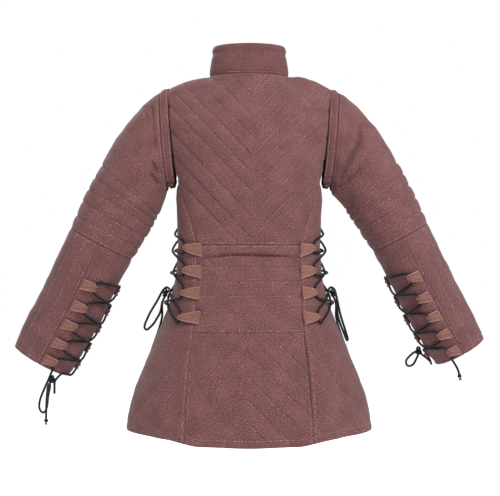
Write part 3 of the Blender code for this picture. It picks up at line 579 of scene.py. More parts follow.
CUFF_KNOTS = {"left": (0.4310, -0.0120, -0.6590), "right": (0.3800, -0.0660, -0.6010)}
CUFF_KNOT_SIZE, END_KNOT_SIZE = 0.0027, 0.0011
for name in SIDES:
    points = rounded(routes[f"sleeve_lace_{name}"])
    if name == "left":
        points = limp(points)
    lace = cord_piece(f"sleeve_cord_{name}", points)
    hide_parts(f"sleeve_lace_{name}")
    side = SIDES[name][0]
    centre = np.array(CUFF_KNOTS[name]) * (side, 1, 1)
    tied = knot(f"cuff_knot_{name}", centre, (0.0, 1.0, 0.1), CUFF_KNOT_SIZE)
    end, before = (points[-1], points[-2]) if name == "left" else (points[0], points[1])
    way = (end - before) / np.linalg.norm(end - before)
    stop = knot(f"end_knot_{name}", end - way * 0.002, (0.0, 1.0, 0.0), END_KNOT_SIZE)
    frayed = tassel(f"frayed_end_{name}", end, way, 0.010, 0.006)
    print(lace.name, round(lace_length(points), 3))

# %% [markdown]
# ## Cloth from a grid
# Each panel is a fine grid laid on the body's form. The grid knows how far every point is from
# the panel's edges, measured along the cloth, so topstitching can be asked for as "14 mm above
# the hem". The quilting pulls the cloth down into soft channels along its lines, the batting
# stands up between them, and the edges roll over where a seam turns the canvas in.

# %% Reading a grid of cloth
def between_rows(rows, count):
    """A fine grid down a panel, on an even curve through its rows, without overshoot."""
    rows = np.array(rows)
    steps = np.linalg.norm(np.diff(rows, axis=0), axis=2).mean(axis=1)
    places = np.concatenate(([0.0], np.cumsum(steps)))
    secant = np.diff(rows, axis=0) / steps[:, None, None]
    slopes = np.zeros_like(rows)
    same = secant[:-1] * secant[1:] > 0
    slopes[1:-1][same] = (2 * secant[:-1] * secant[1:])[same] / (secant[:-1] + secant[1:])[same]
    slopes[0], slopes[-1] = secant[0], secant[-1]
    at = np.linspace(0, places[-1], count)
    row = np.clip(np.searchsorted(places, at, side="right") - 1, 0, len(places) - 2)
    span = (places[row + 1] - places[row])[:, None, None]
    t = (at - places[row])[:, None, None] / span
    ends = rows[row] * (2 * t**3 - 3 * t**2 + 1) + rows[row + 1] * (3 * t**2 - 2 * t**3)
    return ends + (slopes[row] * (t**3 - 2 * t**2 + t) + slopes[row + 1] * (t**3 - t**2)) * span


def softened(grid, times):
    """Ease the inside of a panel, as padding does over a corner, and leave its edges."""
    grid = grid.copy()
    for _ in range(times):
        around = grid[:-2, 1:-1] + grid[2:, 1:-1] + grid[1:-1, :-2] + grid[1:-1, 2:]
        grid[1:-1, 1:-1] = 0.4 * grid[1:-1, 1:-1] + 0.15 * around
    return grid


def outward(grid, middles, ring):
    """The direction each point of the cloth faces."""
    down = np.gradient(grid, axis=0)
    if ring:
        wide = np.concatenate((grid[:, -2:-1], grid, grid[:, 1:2]), axis=1)
        across = (wide[:, 2:] - wide[:, :-2]) / 2
    else:
        across = np.gradient(grid, axis=1)
    facing = np.cross(across, down)
    facing /= np.linalg.norm(facing, axis=2, keepdims=True) + 1e-12
    side = np.sum(facing * (grid - middles[:, None, :]))
    return facing if side > 0 else -facing


def measures(grid):
    """Distance along the cloth from each edge: left, right, top and bottom."""
    across = np.linalg.norm(np.diff(grid, axis=1), axis=2).cumsum(axis=1)
    across = np.concatenate((np.zeros((len(grid), 1)), across), axis=1)
    down = np.linalg.norm(np.diff(grid, axis=0), axis=2).cumsum(axis=0)
    down = np.concatenate((np.zeros((1, grid.shape[1])), down), axis=0)
    return {"left": across, "right": across[:, -1:] - across, "top": down, "bottom": down[-1:] - down,
            "x": grid[..., 0], "z": grid[..., 2]}


def contour(field, level, upright):
    """Where a field crosses a level, as runs of row and column places."""
    if upright:
        return [(cols, rows) for rows, cols in contour(field.T, level, False)]
    above = field - level
    cross = above[:-1] * above[1:] <= 0
    columns = np.nonzero(cross.any(axis=0))[0]
    if len(columns) < 4:
        return []
    first = cross.argmax(axis=0)[columns]
    high, low = above[first, columns], above[first + 1, columns]
    rows = first + high / np.where(high == low, 1.0, high - low)
    cuts = np.nonzero((np.diff(columns) > 1) | (np.abs(np.diff(rows)) > 6))[0] + 1
    runs = zip(np.split(rows, cuts), np.split(columns.astype(float), cuts))
    return [(part, columns_part) for part, columns_part in runs if len(part) > 3]


def sampled(grid, rows, columns):
    """A grid's values at places between its points."""
    i = np.clip(rows.astype(int), 0, grid.shape[0] - 2)
    j = np.clip(columns.astype(int), 0, grid.shape[1] - 2)
    a, b = (rows - i)[:, None], (columns - j)[:, None]
    top = grid[i, j] * (1 - b) + grid[i, j + 1] * b
    return top * (1 - a) + (grid[i + 1, j] * (1 - b) + grid[i + 1, j + 1] * b) * a


def walked(rows, columns, grid, pitch):
    """Even steps along a run of places."""
    points = sampled(grid, rows, columns)
    along = np.concatenate(([0.0], np.linalg.norm(np.diff(points, axis=0), axis=1).cumsum()))
    at = np.arange(pitch / 2, along[-1], pitch)
    return np.interp(at, along, rows), np.interp(at, along, columns)

# %% [markdown]
# Creases are listed as short polylines in metres with a depth and a width. The deepest
# lie where the real coat is pulled: at the sleeve heads, across the small of the back, and down
# the skirt beside the side seams. The front and the undersides get their like.

# %% Table of creases
CREASES = {
    # piece, face (1 back, -1 front, 0 both): depth, width, then places (across, height)
    ("upper_sleeve_left", 1): (
        (-0.0085, 0.0050, (0.214, -0.050), (0.206, -0.090), (0.200, -0.140), (0.196, -0.175)),
        (-0.0060, 0.0055, (0.224, -0.064), (0.214, -0.105), (0.207, -0.150), (0.201, -0.190)),
        (0.0024, 0.005, (0.219, -0.060), (0.210, -0.100), (0.204, -0.145)),
        (-0.0095, 0.0045, (0.204, -0.186), (0.197, -0.203), (0.188, -0.219)),
        (-0.0095, 0.0042, (0.208, -0.212), (0.199, -0.226), (0.188, -0.240)),
        (0.0040, 0.005, (0.204, -0.205), (0.196, -0.214), (0.186, -0.222)),
        (-0.0016, 0.008, (0.255, -0.164), (0.230, -0.185), (0.209, -0.193)),
        (-0.0012, 0.007, (0.323, -0.248), (0.289, -0.269), (0.262, -0.282)),
    ),
    ("upper_sleeve_left", -1): (
        (-0.0026, 0.006, (0.210, -0.075), (0.203, -0.110), (0.196, -0.150)),
        (-0.0040, 0.008, (0.245, -0.130), (0.220, -0.170), (0.200, -0.210)),
        (-0.0022, 0.009, (0.300, -0.230), (0.270, -0.262), (0.240, -0.280)),
    ),
    ("upper_sleeve_right", 1): (
        (-0.0150, 0.0052, (-0.234, -0.108), (-0.232, -0.147), (-0.213, -0.181), (-0.198, -0.208),
         (-0.188, -0.230)),
        (0.0055, 0.010, (-0.250, -0.118), (-0.250, -0.150), (-0.230, -0.190), (-0.212, -0.222)),
        (-0.0085, 0.005, (-0.253, -0.185), (-0.226, -0.214), (-0.202, -0.236), (-0.188, -0.246)),
        (-0.0030, 0.006, (-0.213, -0.084), (-0.210, -0.113), (-0.207, -0.143)),
        (-0.0022, 0.007, (-0.211, -0.244), (-0.215, -0.269), (-0.217, -0.295)),
    ),
    ("upper_sleeve_right", -1): (
        (-0.0030, 0.007, (-0.225, -0.090), (-0.215, -0.130), (-0.203, -0.170)),
        (-0.0045, 0.008, (-0.262, -0.170), (-0.232, -0.200), (-0.205, -0.222)),
        (-0.0020, 0.009, (-0.310, -0.250), (-0.275, -0.275), (-0.245, -0.290)),
    ),
    ("back_bodice", 1): (
        (-0.0020, 0.005, (-0.140, -0.186), (-0.152, -0.192), (-0.163, -0.198)),
        (-0.0016, 0.010, (0.142, -0.250), (0.131, -0.281), (0.135, -0.323)),
        (-0.0022, 0.009, (-0.112, -0.281), (-0.123, -0.312), (-0.119, -0.344)),
    ),
    ("back_waist", 1): (
        (-0.0100, 0.0024, (0.109, -0.393), (0.090, -0.391), (0.065, -0.388), (0.036, -0.385),
         (-0.010, -0.386), (-0.065, -0.388), (-0.112, -0.390)),
        (0.0046, 0.006, (0.106, -0.384), (0.060, -0.379), (0.000, -0.377), (-0.060, -0.379),
         (-0.106, -0.382)),
        (-0.0030, 0.0045, (0.073, -0.410), (0.052, -0.403), (0.035, -0.395)),
        (-0.0032, 0.0045, (0.092, -0.392), (0.080, -0.402), (0.070, -0.414)),
        (-0.0034, 0.0045, (-0.082, -0.392), (-0.098, -0.399), (-0.112, -0.410)),
        (-0.0018, 0.005, (0.085, -0.448), (0.040, -0.444), (0.005, -0.446)),
        (-0.0032, 0.005, (-0.055, -0.453), (-0.086, -0.446), (-0.110, -0.443)),
        (-0.0020, 0.006, (0.092, -0.425), (0.080, -0.430), (0.066, -0.428)),
    ),
    ("back_skirt", 1): (
        (-0.0055, 0.007, (-0.113, -0.545), (-0.118, -0.597), (-0.122, -0.666), (-0.121, -0.708)),
        (0.0030, 0.014, (-0.098, -0.560), (-0.104, -0.630), (-0.108, -0.728)),
        (-0.0035, 0.015, (-0.060, -0.640), (-0.072, -0.690), (-0.080, -0.768)),
        (0.0022, 0.014, (0.100, -0.640), (0.106, -0.700), (0.108, -0.768)),
    ),
    ("side_right", 1): (
        (-0.0070, 0.006, (-0.139, -0.545), (-0.146, -0.580), (-0.160, -0.609)),
        (-0.0040, 0.006, (-0.152, -0.545), (-0.160, -0.575), (-0.162, -0.606)),
        (0.0050, 0.016, (-0.150, -0.600), (-0.158, -0.670), (-0.168, -0.768)),
        (-0.0065, 0.014, (-0.182, -0.620), (-0.196, -0.690), (-0.206, -0.768)),
    ),
    ("side_left", 1): (
        (-0.0040, 0.016, (0.192, -0.620), (0.200, -0.690), (0.208, -0.768)),
        (-0.0028, 0.012, (0.150, -0.640), (0.156, -0.700), (0.160, -0.768)),
        (0.0035, 0.016, (0.172, -0.610), (0.178, -0.690), (0.186, -0.768)),
    ),
    ("side", -1): (
        (-0.0040, 0.016, (0.190, -0.600), (0.206, -0.680), (0.216, -0.768)),
    ),
    ("front_left", -1): (
        (0.0045, 0.018, (0.150, -0.580), (0.158, -0.670), (0.164, -0.768)),
        (-0.0040, 0.016, (0.095, -0.560), (0.102, -0.660), (0.106, -0.768)),
        (-0.0022, 0.010, (0.150, -0.240), (0.125, -0.262), (0.095, -0.270)),
        (-0.0034, 0.005, (0.125, -0.384), (0.085, -0.378), (0.040, -0.382)),
        (-0.0024, 0.005, (0.120, -0.420), (0.100, -0.412), (0.076, -0.414)),
    ),
    ("front_right", -1): (
        (0.0045, 0.018, (-0.145, -0.590), (-0.156, -0.680), (-0.160, -0.768)),
        (-0.0040, 0.016, (-0.090, -0.570), (-0.098, -0.670), (-0.104, -0.768)),
        (-0.0024, 0.010, (-0.150, -0.236), (-0.122, -0.256), (-0.090, -0.262)),
        (-0.0034, 0.005, (-0.125, -0.388), (-0.080, -0.380), (-0.030, -0.384)),
        (-0.0022, 0.005, (-0.110, -0.432), (-0.085, -0.426), (-0.060, -0.430)),
    ),
    ("forearm_left", 1): (
        (-0.0018, 0.005, (0.377, -0.402), (0.364, -0.413), (0.345, -0.426)),
        (-0.0020, 0.006, (0.326, -0.402), (0.309, -0.413), (0.298, -0.418)),
        (-0.0016, 0.010, (0.403, -0.449), (0.409, -0.503), (0.428, -0.550)),
    ),
    ("forearm_left", -1): (
        (-0.0026, 0.008, (0.380, -0.420), (0.350, -0.440), (0.330, -0.470)),
    ),
    ("forearm_right", 1): (
        (-0.0020, 0.007, (-0.322, -0.417), (-0.332, -0.449), (-0.347, -0.481)),
        (-0.0014, 0.010, (-0.386, -0.481), (-0.403, -0.513), (-0.410, -0.545)),
    ),
    ("forearm_right", -1): (
        (-0.0026, 0.008, (-0.372, -0.400), (-0.350, -0.425), (-0.326, -0.450)),
    ),
    ("forearm_gusset", 0): (
        (-0.0026, 0.006, (0.345, -0.470), (0.372, -0.530), (0.398, -0.600)),
        (0.0022, 0.006, (0.362, -0.490), (0.386, -0.550), (0.408, -0.620)),
    ),
}


def creased(name, grid, facing):
    """How far a piece's creases move it; each fades at its ends, but not where it meets the hem."""
    moved = np.zeros(grid.shape[:2])
    own = 0
    for (piece, face), creases in CREASES.items():
        if not name.startswith(piece):
            continue
        own += len(creases)
        mirror = -1 if name.endswith("right") and not piece.endswith("right") else 1
        shown = np.clip(facing[..., 1] * face * 4, 0, 1) if face else 1.0
        for depth, width, *places in creases:
            line = np.array(rounded([(x * mirror, 0.0, z) for x, z in places], 0.006))[:, [0, 2]]
            apart = np.linalg.norm(grid[:, :, None, [0, 2]] - line[None, None], axis=3)
            share = apart.argmin(axis=2) / (len(line) - 1)
            if places[-1][1] <= HEM_Z:
                taper = np.minimum(share * 3, 1.0) ** 0.7
            else:
                taper = np.sin(math.pi * np.clip(share, 0.0, 1.0)) ** 0.5
            moved += depth * taper * shown * np.exp(-((apart.min(axis=2) / width) ** 2))
    return moved, own


def uneven(grid, size):
    """The slight unevenness of hand-filled batting."""
    x, y, z = grid[..., 0], grid[..., 1], grid[..., 2]
    waves = (np.sin(71 * x + 37 * z + 1.3) * np.sin(53 * z - 29 * y + 0.4)
             + 0.7 * np.sin(43 * y + 61 * z + 2.1) * np.sin(97 * x - 31 * z)
             + 0.5 * np.sin(151 * x + 127 * y) * np.sin(139 * z + 0.9))
    return size * waves

# %% [markdown]
# Stitches are real too: each is a small slanted bar of thread lying in its channel. They are
# laid as one joined mesh a panel, at an even pitch along the lines of quilting.

# %% Channels and stitches
def mesh_piece(name, points, faces, material, corner_uv):
    """A smooth mesh piece that rides on the garment."""
    mesh = bpy.data.meshes.new(name)
    mesh.from_pydata(points.reshape(-1, 3).tolist(), [], faces.tolist())
    mesh.polygons.foreach_set("use_smooth", [True] * len(mesh.polygons))
    mesh.uv_layers.new(name="cloth").data.foreach_set("uv", corner_uv.ravel())
    mesh.materials.append(material)
    mesh.update()
    piece = placed(name, mesh)
    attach(piece, "root")
    return piece


def stitch_mesh(name, centres, ways, ups, length=0.0036, width=0.0014, rise=0.0007):
    """Small tapered bars of thread as one mesh."""
    sides = np.cross(ups, ways)
    ring = np.array([(-1, 0, 0), (-0.5, 0.8, 0.2), (-0.5, -0.8, 0.2), (-0.4, 0, 1),
                     (0.5, 0.8, 0.2), (0.5, -0.8, 0.2), (0.4, 0, 1), (1, 0, 0)])
    faces = np.array([(0, 3, 1), (0, 2, 3), (1, 3, 6), (1, 6, 4), (2, 6, 3), (2, 5, 6),
                      (4, 6, 7), (5, 7, 6), (0, 1, 2), (1, 4, 5), (1, 5, 2), (4, 7, 5)])
    points = (centres[:, None] + ways[:, None] * ring[None, :, :1] * length / 2
              + sides[:, None] * ring[None, :, 1:2] * width / 2 + ups[:, None] * ring[None, :, 2:] * rise)
    index = faces[None] + 8 * np.arange(len(centres))[:, None, None]
    corners = points.reshape(-1, 3)[index.reshape(-1)]
    flat = np.stack((corners[:, 0] + corners[:, 1], corners[:, 2]), axis=1)
    return mesh_piece(name, points, index.reshape(-1, 3), thread, flat)


def quilting_runs(lines, size):
    """Every run of quilting on a panel: its places, its depth and the pitch of its stitches."""
    return [(rows, columns, depth, pitch) for field, level, upright, depth, pitch in lines
            for rows, columns in contour(field(size), level, upright)]


def channels(grid, runs):
    """How far each point lies from its nearest line of quilting, and how deep that line sinks."""
    samples = [(point, depth) for rows, columns, depth, _ in runs
               for point in sampled(grid, *walked(rows, columns, grid, SAMPLE_STEP))]
    tree = KDTree(len(samples))
    for at, (point, _) in enumerate(samples):
        tree.insert(point, at)
    tree.balance()
    found = [tree.find(point) for point in grid.reshape(-1, 3)]
    near = np.array([hit[2] for hit in found]).reshape(grid.shape[:2])
    deep = np.array([samples[hit[1]][1] for hit in found]).reshape(grid.shape[:2])
    return near, deep


def stitches_on(name, grid, outer, facing, runs):
    """All the stitches of a panel, as one mesh, and how many they are."""
    bars = []
    for rows, columns, _, pitch in runs:
        rows, columns = walked(rows, columns, grid, pitch)
        if len(rows) < 3:
            continue
        places = sampled(outer, rows, columns)
        ways = np.gradient(places, axis=0)
        ways /= np.linalg.norm(ways, axis=1, keepdims=True) + 1e-9
        ups = sampled(facing, rows, columns)
        bars.append((places, ways, ups / np.linalg.norm(ups, axis=1, keepdims=True)))
    stitches = stitch_mesh(f"stitching_{name}", *(np.concatenate(part) for part in zip(*bars)))
    return stitches, sum(len(bar[0]) for bar in bars)

# %% [markdown]
# The cloth is given its own wall: an outer face, an inner face, and a narrow strip of faces that
# joins them round each edge. Building it by hand, and not with a modifier, lets the inner face
# sink less than the outer one under a line of quilting, as batting is squeezed from both sides.

# %% Walls
def wall_rim(count, turn):
    """A strip of faces along an edge: places along it, and 0 outside or 1 inside."""
    along = np.arange(count - 1)
    corners = np.stack((along, along + 1, along + 1, along), axis=1)
    return corners[:, ::turn], np.tile((0, 0, 1, 1), (count - 1, 1))[:, ::turn]


def wall_corners(rows, columns, ring):
    """The row, the column and the side, 0 outside or 1 inside, of every face's corners."""
    i, j = np.meshgrid(np.arange(rows - 1), np.arange(columns - 1), indexing="ij")
    i, j = i.ravel(), j.ravel()
    corner_i = np.stack((i, i + 1, i + 1, i), axis=1)
    corner_j = np.stack((j, j, j + 1, j + 1), axis=1)
    layers = [(corner_i, corner_j, np.zeros_like(corner_i)),
              (corner_i[:, ::-1], corner_j[:, ::-1], np.ones_like(corner_i))]
    for row, turn in ((0, 1), (rows - 1, -1)):
        along, inside = wall_rim(columns, turn)
        layers.append((np.full_like(along, row), along, inside))
    if not ring:
        for column, turn in ((0, -1), (columns - 1, 1)):
            along, inside = wall_rim(rows, turn)
            layers.append((along, np.full_like(along, column), inside))
    return [np.concatenate(part) for part in zip(*layers)]


def walled(name, outer, inner, size, facing, ring, material):
    """One mesh of a panel's two faces and its edges, flat in its texture as it was cut."""
    rows, columns = outer.shape[:2]
    kept = columns - 1 if ring else columns
    points = np.concatenate((outer[:, :kept].reshape(-1, 3), inner[:, :kept].reshape(-1, 3)))
    corner_i, corner_j, corner_k = wall_corners(rows, columns, ring)
    faces = corner_k * rows * kept + corner_i * kept + corner_j % kept
    centred = size["left"] - size["left"][:, columns // 2, None]
    flat = np.stack((centred[corner_i, corner_j], size["bottom"][corner_i, corner_j]), axis=2)
    first = points[faces[0]]
    if np.dot(np.cross(first[1] - first[0], first[2] - first[0]), facing[0, 0]) < 0:
        faces, flat = faces[:, ::-1], flat[:, ::-1]
    return mesh_piece(f"cloth_{name}", points, faces, material, np.ascontiguousarray(flat))

# %% [markdown]
# Sewing a panel adds up its movements: the channels and the puff between them, the creases, the
# batting's unevenness and the roll at each edge. A sheet keeps its flat size and area.

# %% Sewing a panel
cloth_pieces = {}
SAMPLE_STEP = 0.0016        # between the places measured along a line of quilting
CHANNEL, PUFF_REACH = 0.0026, 0.007
EDGE_ROLL, STEADY_EDGE, FLAT_EDGE_SHARE = 0.0035, 0.02, 0.35


def sew(name, grid, middles, lines, wall=CLOTH_WALL, ring=False, material=canvas, puff=0.0007, roll=0.0014,
        flat_edges=(), loose=0.0005, extra=None):
    """Make one quilted panel: its channels, creases, rolled edges, thickness and stitching."""
    facing, size = outward(grid, middles, ring), measures(grid)
    runs = quilting_runs(lines, size)
    near, deep = channels(grid, runs)
    quilt = -deep * np.exp(-((near / CHANNEL) ** 2)) + puff * (1 - np.exp(-near / PUFF_REACH))
    edges = ("top", "bottom") if ring else ("top", "bottom", "left", "right")
    shares = [FLAT_EDGE_SHARE if edge in flat_edges else 1.0 for edge in edges]
    rolled = np.max([np.exp(-((size[edge] / EDGE_ROLL) ** 2)) * share
                     for edge, share in zip(edges, shares)], axis=0)
    folds, own = creased(name, grid, facing)
    inside = np.min([size[edge] for edge in edges], axis=0)
    folds += uneven(grid, loose) * np.clip(inside / STEADY_EDGE, 0, 1)
    if extra is not None:
        folds += extra(size, grid)
    outer = grid + facing * (quilt - roll * rolled + folds)[..., None]
    inner = grid + facing * (folds - wall - 0.4 * np.minimum(quilt, 0) + 0.6 * roll * rolled)[..., None]
    piece = walled(name, outer, inner, size, facing, ring, material)
    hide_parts(name)
    stitches, count = stitches_on(name, grid, outer, facing, runs)
    quads = np.cross(grid[1:, :-1] - grid[:-1, :-1], grid[:-1, 1:] - grid[:-1, :-1])
    area = float(np.linalg.norm(quads, axis=2).sum())
    width, length = float(size["left"][:, -1].max()), float(size["top"][-1].max())
    cloth_pieces[name] = {"piece": piece, "flat": (width, length), "area": area, "with": [stitches]}
    print(f"{name}: cut {width:.3f} x {length:.3f} m, area {area:.4f}, {len(runs)} lines, {own} creases, "
          f"{count} stitches")

# %% [markdown]
# ## The back
# The back is three panels sewn across: a bodice quilted in chevrons that point down, a waist
# with level channels, and a skirt whose chevrons point up.

# %% Rows and edges of a panel
GRID = 0.0027
SEAM_TURN = 0.0008


def even(start, end, step=GRID, at_least=8):
    """Even places from start to end, about a step apart."""
    return np.linspace(start, end, max(int(abs(end - start) / step), at_least))


def top_edge(across, facing, side):
    """Neck and shoulder line of a panel; across runs from -1 to 1, facing is 1 for the back."""
    reach = np.abs(across)
    turn = np.clip(reach / NECK_SHARE, 0, 1) * math.pi / 2
    along = np.clip((reach - NECK_SHARE) / (1 - NECK_SHARE), 0, 1)
    depth = NECK_BACK if facing > 0 else NECK_FRONT
    dip = 0.0 if facing > 0 else NECK_DIP
    neck = reach < NECK_SHARE
    full = np.where(across * side < 0, RIGHT_SHOULDER_FULL, 0.0)
    curve = np.where(across * side < 0, RIGHT_SHOULDER_CURVE, SHOULDER_CURVE)
    x = np.where(neck, NECK_HALF * np.sin(turn), mix(NECK_HALF, SHOULDER_X, along))
    y = np.where(neck, facing * depth * np.cos(turn), 0.0)
    fall = -SHOULDER_DROP * along**curve + full * np.sin(math.pi * along**0.5)
    z = np.where(neck, -dip * np.cos(turn) ** 2, fall)
    return np.stack((np.sign(across) * x, y + facing * GAP / 2, z), axis=-1)


def yoke_rows(across, facing, side=1):
    """Rows of a panel from the neck and shoulder down to just above the armhole foot."""
    top = top_edge(across, facing, side)
    out = np.clip((np.abs(across) - 0.2) / 0.4, 0, 1)
    ridge = top + np.array((0.0, facing * 0.004, 0.0))
    over = top + np.stack((0 * out, facing * mix(0.009, 0.027, out), mix(-0.018, -0.0075, out)), axis=-1)
    rows = [top, ridge, over]
    for middle_z, middle_y, edge_x, edge_y, edge_z, full in YOKE[facing]:
        fall = np.abs(across) ** full
        y, z = mix(middle_y, edge_y, fall), mix(middle_z, edge_z, fall)
        rows.append(np.stack((edge_x * across, y, z), axis=-1))
    return rows


def torso_middles(grid):
    """The body's middle beside each row of a panel."""
    middles = np.zeros((len(grid), 3))
    middles[:, 2] = grid[..., 2].mean(axis=1)
    return middles


def left_back(height):
    """The back panels' edge on the wearer's left."""
    return back_seam_turn(height) + SEAM_TURN


def right_back(height):
    """The back panels' edge on the wearer's right."""
    return math.pi - left_back(height)


def ring_grid(heights, shares, first_turn, last_turn):
    """A grid round the body, from one seam's direction to the other's."""
    heights = np.asarray(heights)[:, None]
    return hung(torso_point(heights, mix(first_turn(heights), last_turn(heights), np.asarray(shares)[None])))

# %% [markdown]
# A line of quilting is drawn as a level of a field over the panel, as a contour is on a map: the
# height alone gives level lines, and the height plus the distance from the middle gives Vs.

# %% Lines of quilting
def chevrons(levels, apex, slope, depth=0.0026, pitch=0.0060):
    """Quilting in nested Vs: each line has its point at the apex and climbs or falls both ways."""
    return [(lambda size: size["z"] - slope * np.abs(size["x"] - apex), level, False, depth, pitch)
            for level in levels]


def levels_at(heights, depth=0.0019, pitch=0.0052):
    """Quilting in level lines."""
    return [(lambda size: size["z"], height, False, depth, pitch) for height in heights]


def beside(edge, distance, depth=0.0008, pitch=0.0050):
    """Topstitching at a distance from one edge."""
    return (lambda size: size[edge], distance, edge in ("left", "right"), depth, pitch)


def within(lines, shown):
    """Quilting kept only where a test holds; elsewhere its field is far from every level."""
    return [(lambda size, field=field: np.where(shown(size), field(size), 9.0), level, upright, depth, pitch)
            for field, level, upright, depth, pitch in lines]

# %% [markdown]
# The bodice comes first. Its rows run from the shoulders down to the waist seam, and a fine grid
# is drawn through them and softened; the two panels below hang straight off the body's form.

# %% Sew the back
shares = even(0, 1, 1 / 124)
across = 1 - 2 * shares
yoke = yoke_rows(across, 1)
heights = [ARMHOLE_FOOT_Z, SIDE_TOP_Z, -0.26, -0.2947, -0.3293, WAIST_Z + GAP / 2]
lower = ring_grid(heights, shares, left_back, right_back)
bodice = softened(between_rows([*yoke, *lower], 146), 26)
BODICE_APEXES = (-0.0525, -0.0965, -0.141, -0.181, -0.218, -0.257, -0.308, -0.353, -0.392)
bodice_lines = chevrons(BODICE_APEXES, -0.005, 1.07) + [beside("bottom", 0.0035, 0.0006, 0.0044)]
sew("back_bodice", bodice, torso_middles(bodice), bodice_lines, flat_edges=("top", "bottom"))

waist = ring_grid(even(WAIST_Z - GAP / 2, SKIRT_SEAM_Z + GAP / 2, 0.0017), shares, left_back, right_back)
waist_lines = levels_at((-0.412, -0.442, -0.470)) + [
    (lambda size: size["z"] + 0.010 * np.cos((size["x"] - 0.02) / 0.07), -0.4975, False, 0.0019, 0.0052),
    beside("top", 0.0035, 0.0006, 0.0044), beside("bottom", 0.0035)]
sew("back_waist", waist, torso_middles(waist), waist_lines, flat_edges=("top", "bottom"))

skirt = ring_grid(even(SKIRT_SEAM_Z - GAP / 2, HEM_Z), even(0, 1, 1 / 148), left_back, right_back)
SKIRT_APEXES = (-0.418, -0.460, -0.502, -0.545, -0.584, -0.629, -0.675, -0.718)
skirt_lines = chevrons(SKIRT_APEXES, 0.004, -1.0, 0.0028) + [beside("bottom", 0.014, 0.0014)]
sew("back_skirt", skirt, torso_middles(skirt), skirt_lines + [beside("left", 0.004), beside("right", 0.004)],
    flat_edges=("top",))

# %% [markdown]
# ## Sides and fronts
# The panel under each arm is plain, since the laces draw together over it; its skirt carries
# the chevrons on. Each front runs in one piece from shoulder to hem, and the wearer's right
# front laps over the left.

# %% Side panels
def side_back(height):
    """A side panel's edge towards the back."""
    return back_seam_turn(height) - SEAM_TURN


def side_front(height):
    """A side panel's edge towards the front."""
    return front_seam_turn(height) + SEAM_TURN


def left_front(height):
    """A front's edge towards the side."""
    return front_seam_turn(height) - SEAM_TURN


def centre_front(height):
    """The line down the middle of the front."""
    return -math.pi / 2 + 0 * height


BACK_HALF = 0.11             # half the back's width, so that its slanting lines run on over the sides
for name, (side, _, _) in SIDES.items():
    share = even(0, 1, 1 / 72)
    top_height = mix(SIDE_TOP_Z, UNDERARM_Z, np.sin(math.pi * share))[None]
    top = torso_point(top_height, mix(side_back(top_height), side_front(top_height), share[None]))
    below = ring_grid(even(-0.262, HEM_Z), share, side_back, side_front)
    grid = np.concatenate((top, below)) * (side, 1, 1)
    lines = [(lambda size: size["z"] + (size["left"] + BACK_HALF), level, False, 0.0012, 0.0056)
             for level in (-0.470, -0.520, -0.570, -0.620, -0.670)]
    lines += [beside("bottom", 0.014), beside("left", 0.005, 0.0006), beside("right", 0.005, 0.0006)]
    sew(f"side_{name}", grid, torso_middles(grid), lines, loose=0.0008)

# %% [markdown]
# A front is first laid like the back, up to the centre line, and then bent past it. The one that
# lies on top is raised only near its edge, so that it doesn't stand off the body elsewhere.

# %% Fronts
def lapped(grid, over):
    """Carry a front's edge past the centre line, and raise it where it lies over the other."""
    x, y, z = grid[..., 0], grid[..., 1], grid[..., 2]
    reach = LAP_REACH * np.maximum(1 - x / LAP_BEND, 0.0) * eased((LAP_TOP - z) / LAP_TOP_SPAN)
    rise = over * eased((LAP_SOFT - x) / LAP_SOFT_SPAN) * eased((LAP_TOP + LAP_TOP_SPAN - z) / LAP_RISE_SPAN)
    return np.stack((x - reach + 1.5 * GAP, y - rise, z), axis=-1)


FRONT_APEXES = (-0.075, -0.120, -0.165, -0.210, -0.255, -0.300, -0.345, -0.390)
FRONT_SKIRT_APEXES = (-0.520, -0.560, -0.600, -0.645, -0.690, -0.735)
for name, (side, _, _) in SIDES.items():
    share = even(0, 1, 1 / 66)
    yoke = yoke_rows(1 - share, -1, side)
    coarse = [ARMHOLE_FOOT_Z, SIDE_TOP_Z, *np.linspace(-0.26, WAIST_Z, 4)]
    heights = [*coarse, *np.linspace(WAIST_Z, SKIRT_SEAM_Z, 8)[1:], *np.linspace(SKIRT_SEAM_Z, HEM_Z, 8)[1:]]
    rows = [*yoke, *ring_grid(heights, share, left_front, centre_front)]
    grid = softened(between_rows(rows, 250), 14)
    grid = lapped(grid, LAP_LIFT if side < 0 else 0.0) * (side, 1, 1)
    falling, rising = (chevrons(apexes, 0.0, slope, 0.0013, 0.0056)
                       for apexes, slope in ((FRONT_APEXES, 1.0), (FRONT_SKIRT_APEXES, -1.0)))
    lines = within(falling, lambda size: size["z"] > WAIST_Z + 0.004)
    lines += levels_at((WAIST_Z, -0.395, -0.424, -0.453, -0.482, -0.512, SKIRT_SEAM_Z))
    lines += within(rising, lambda size: size["z"] < SKIRT_SEAM_Z)
    lines += [beside("bottom", 0.014), beside("right", 0.005), beside("right", 0.028)]
    lines += [beside("left", 0.005, 0.0006)]
    sew(f"front_{name}", grid, torso_middles(grid), lines)

# %% [markdown]
# ## Collar
# The standing collar is stiffer than the rest, open at the front, and its top edge rolls over
# its own padding.

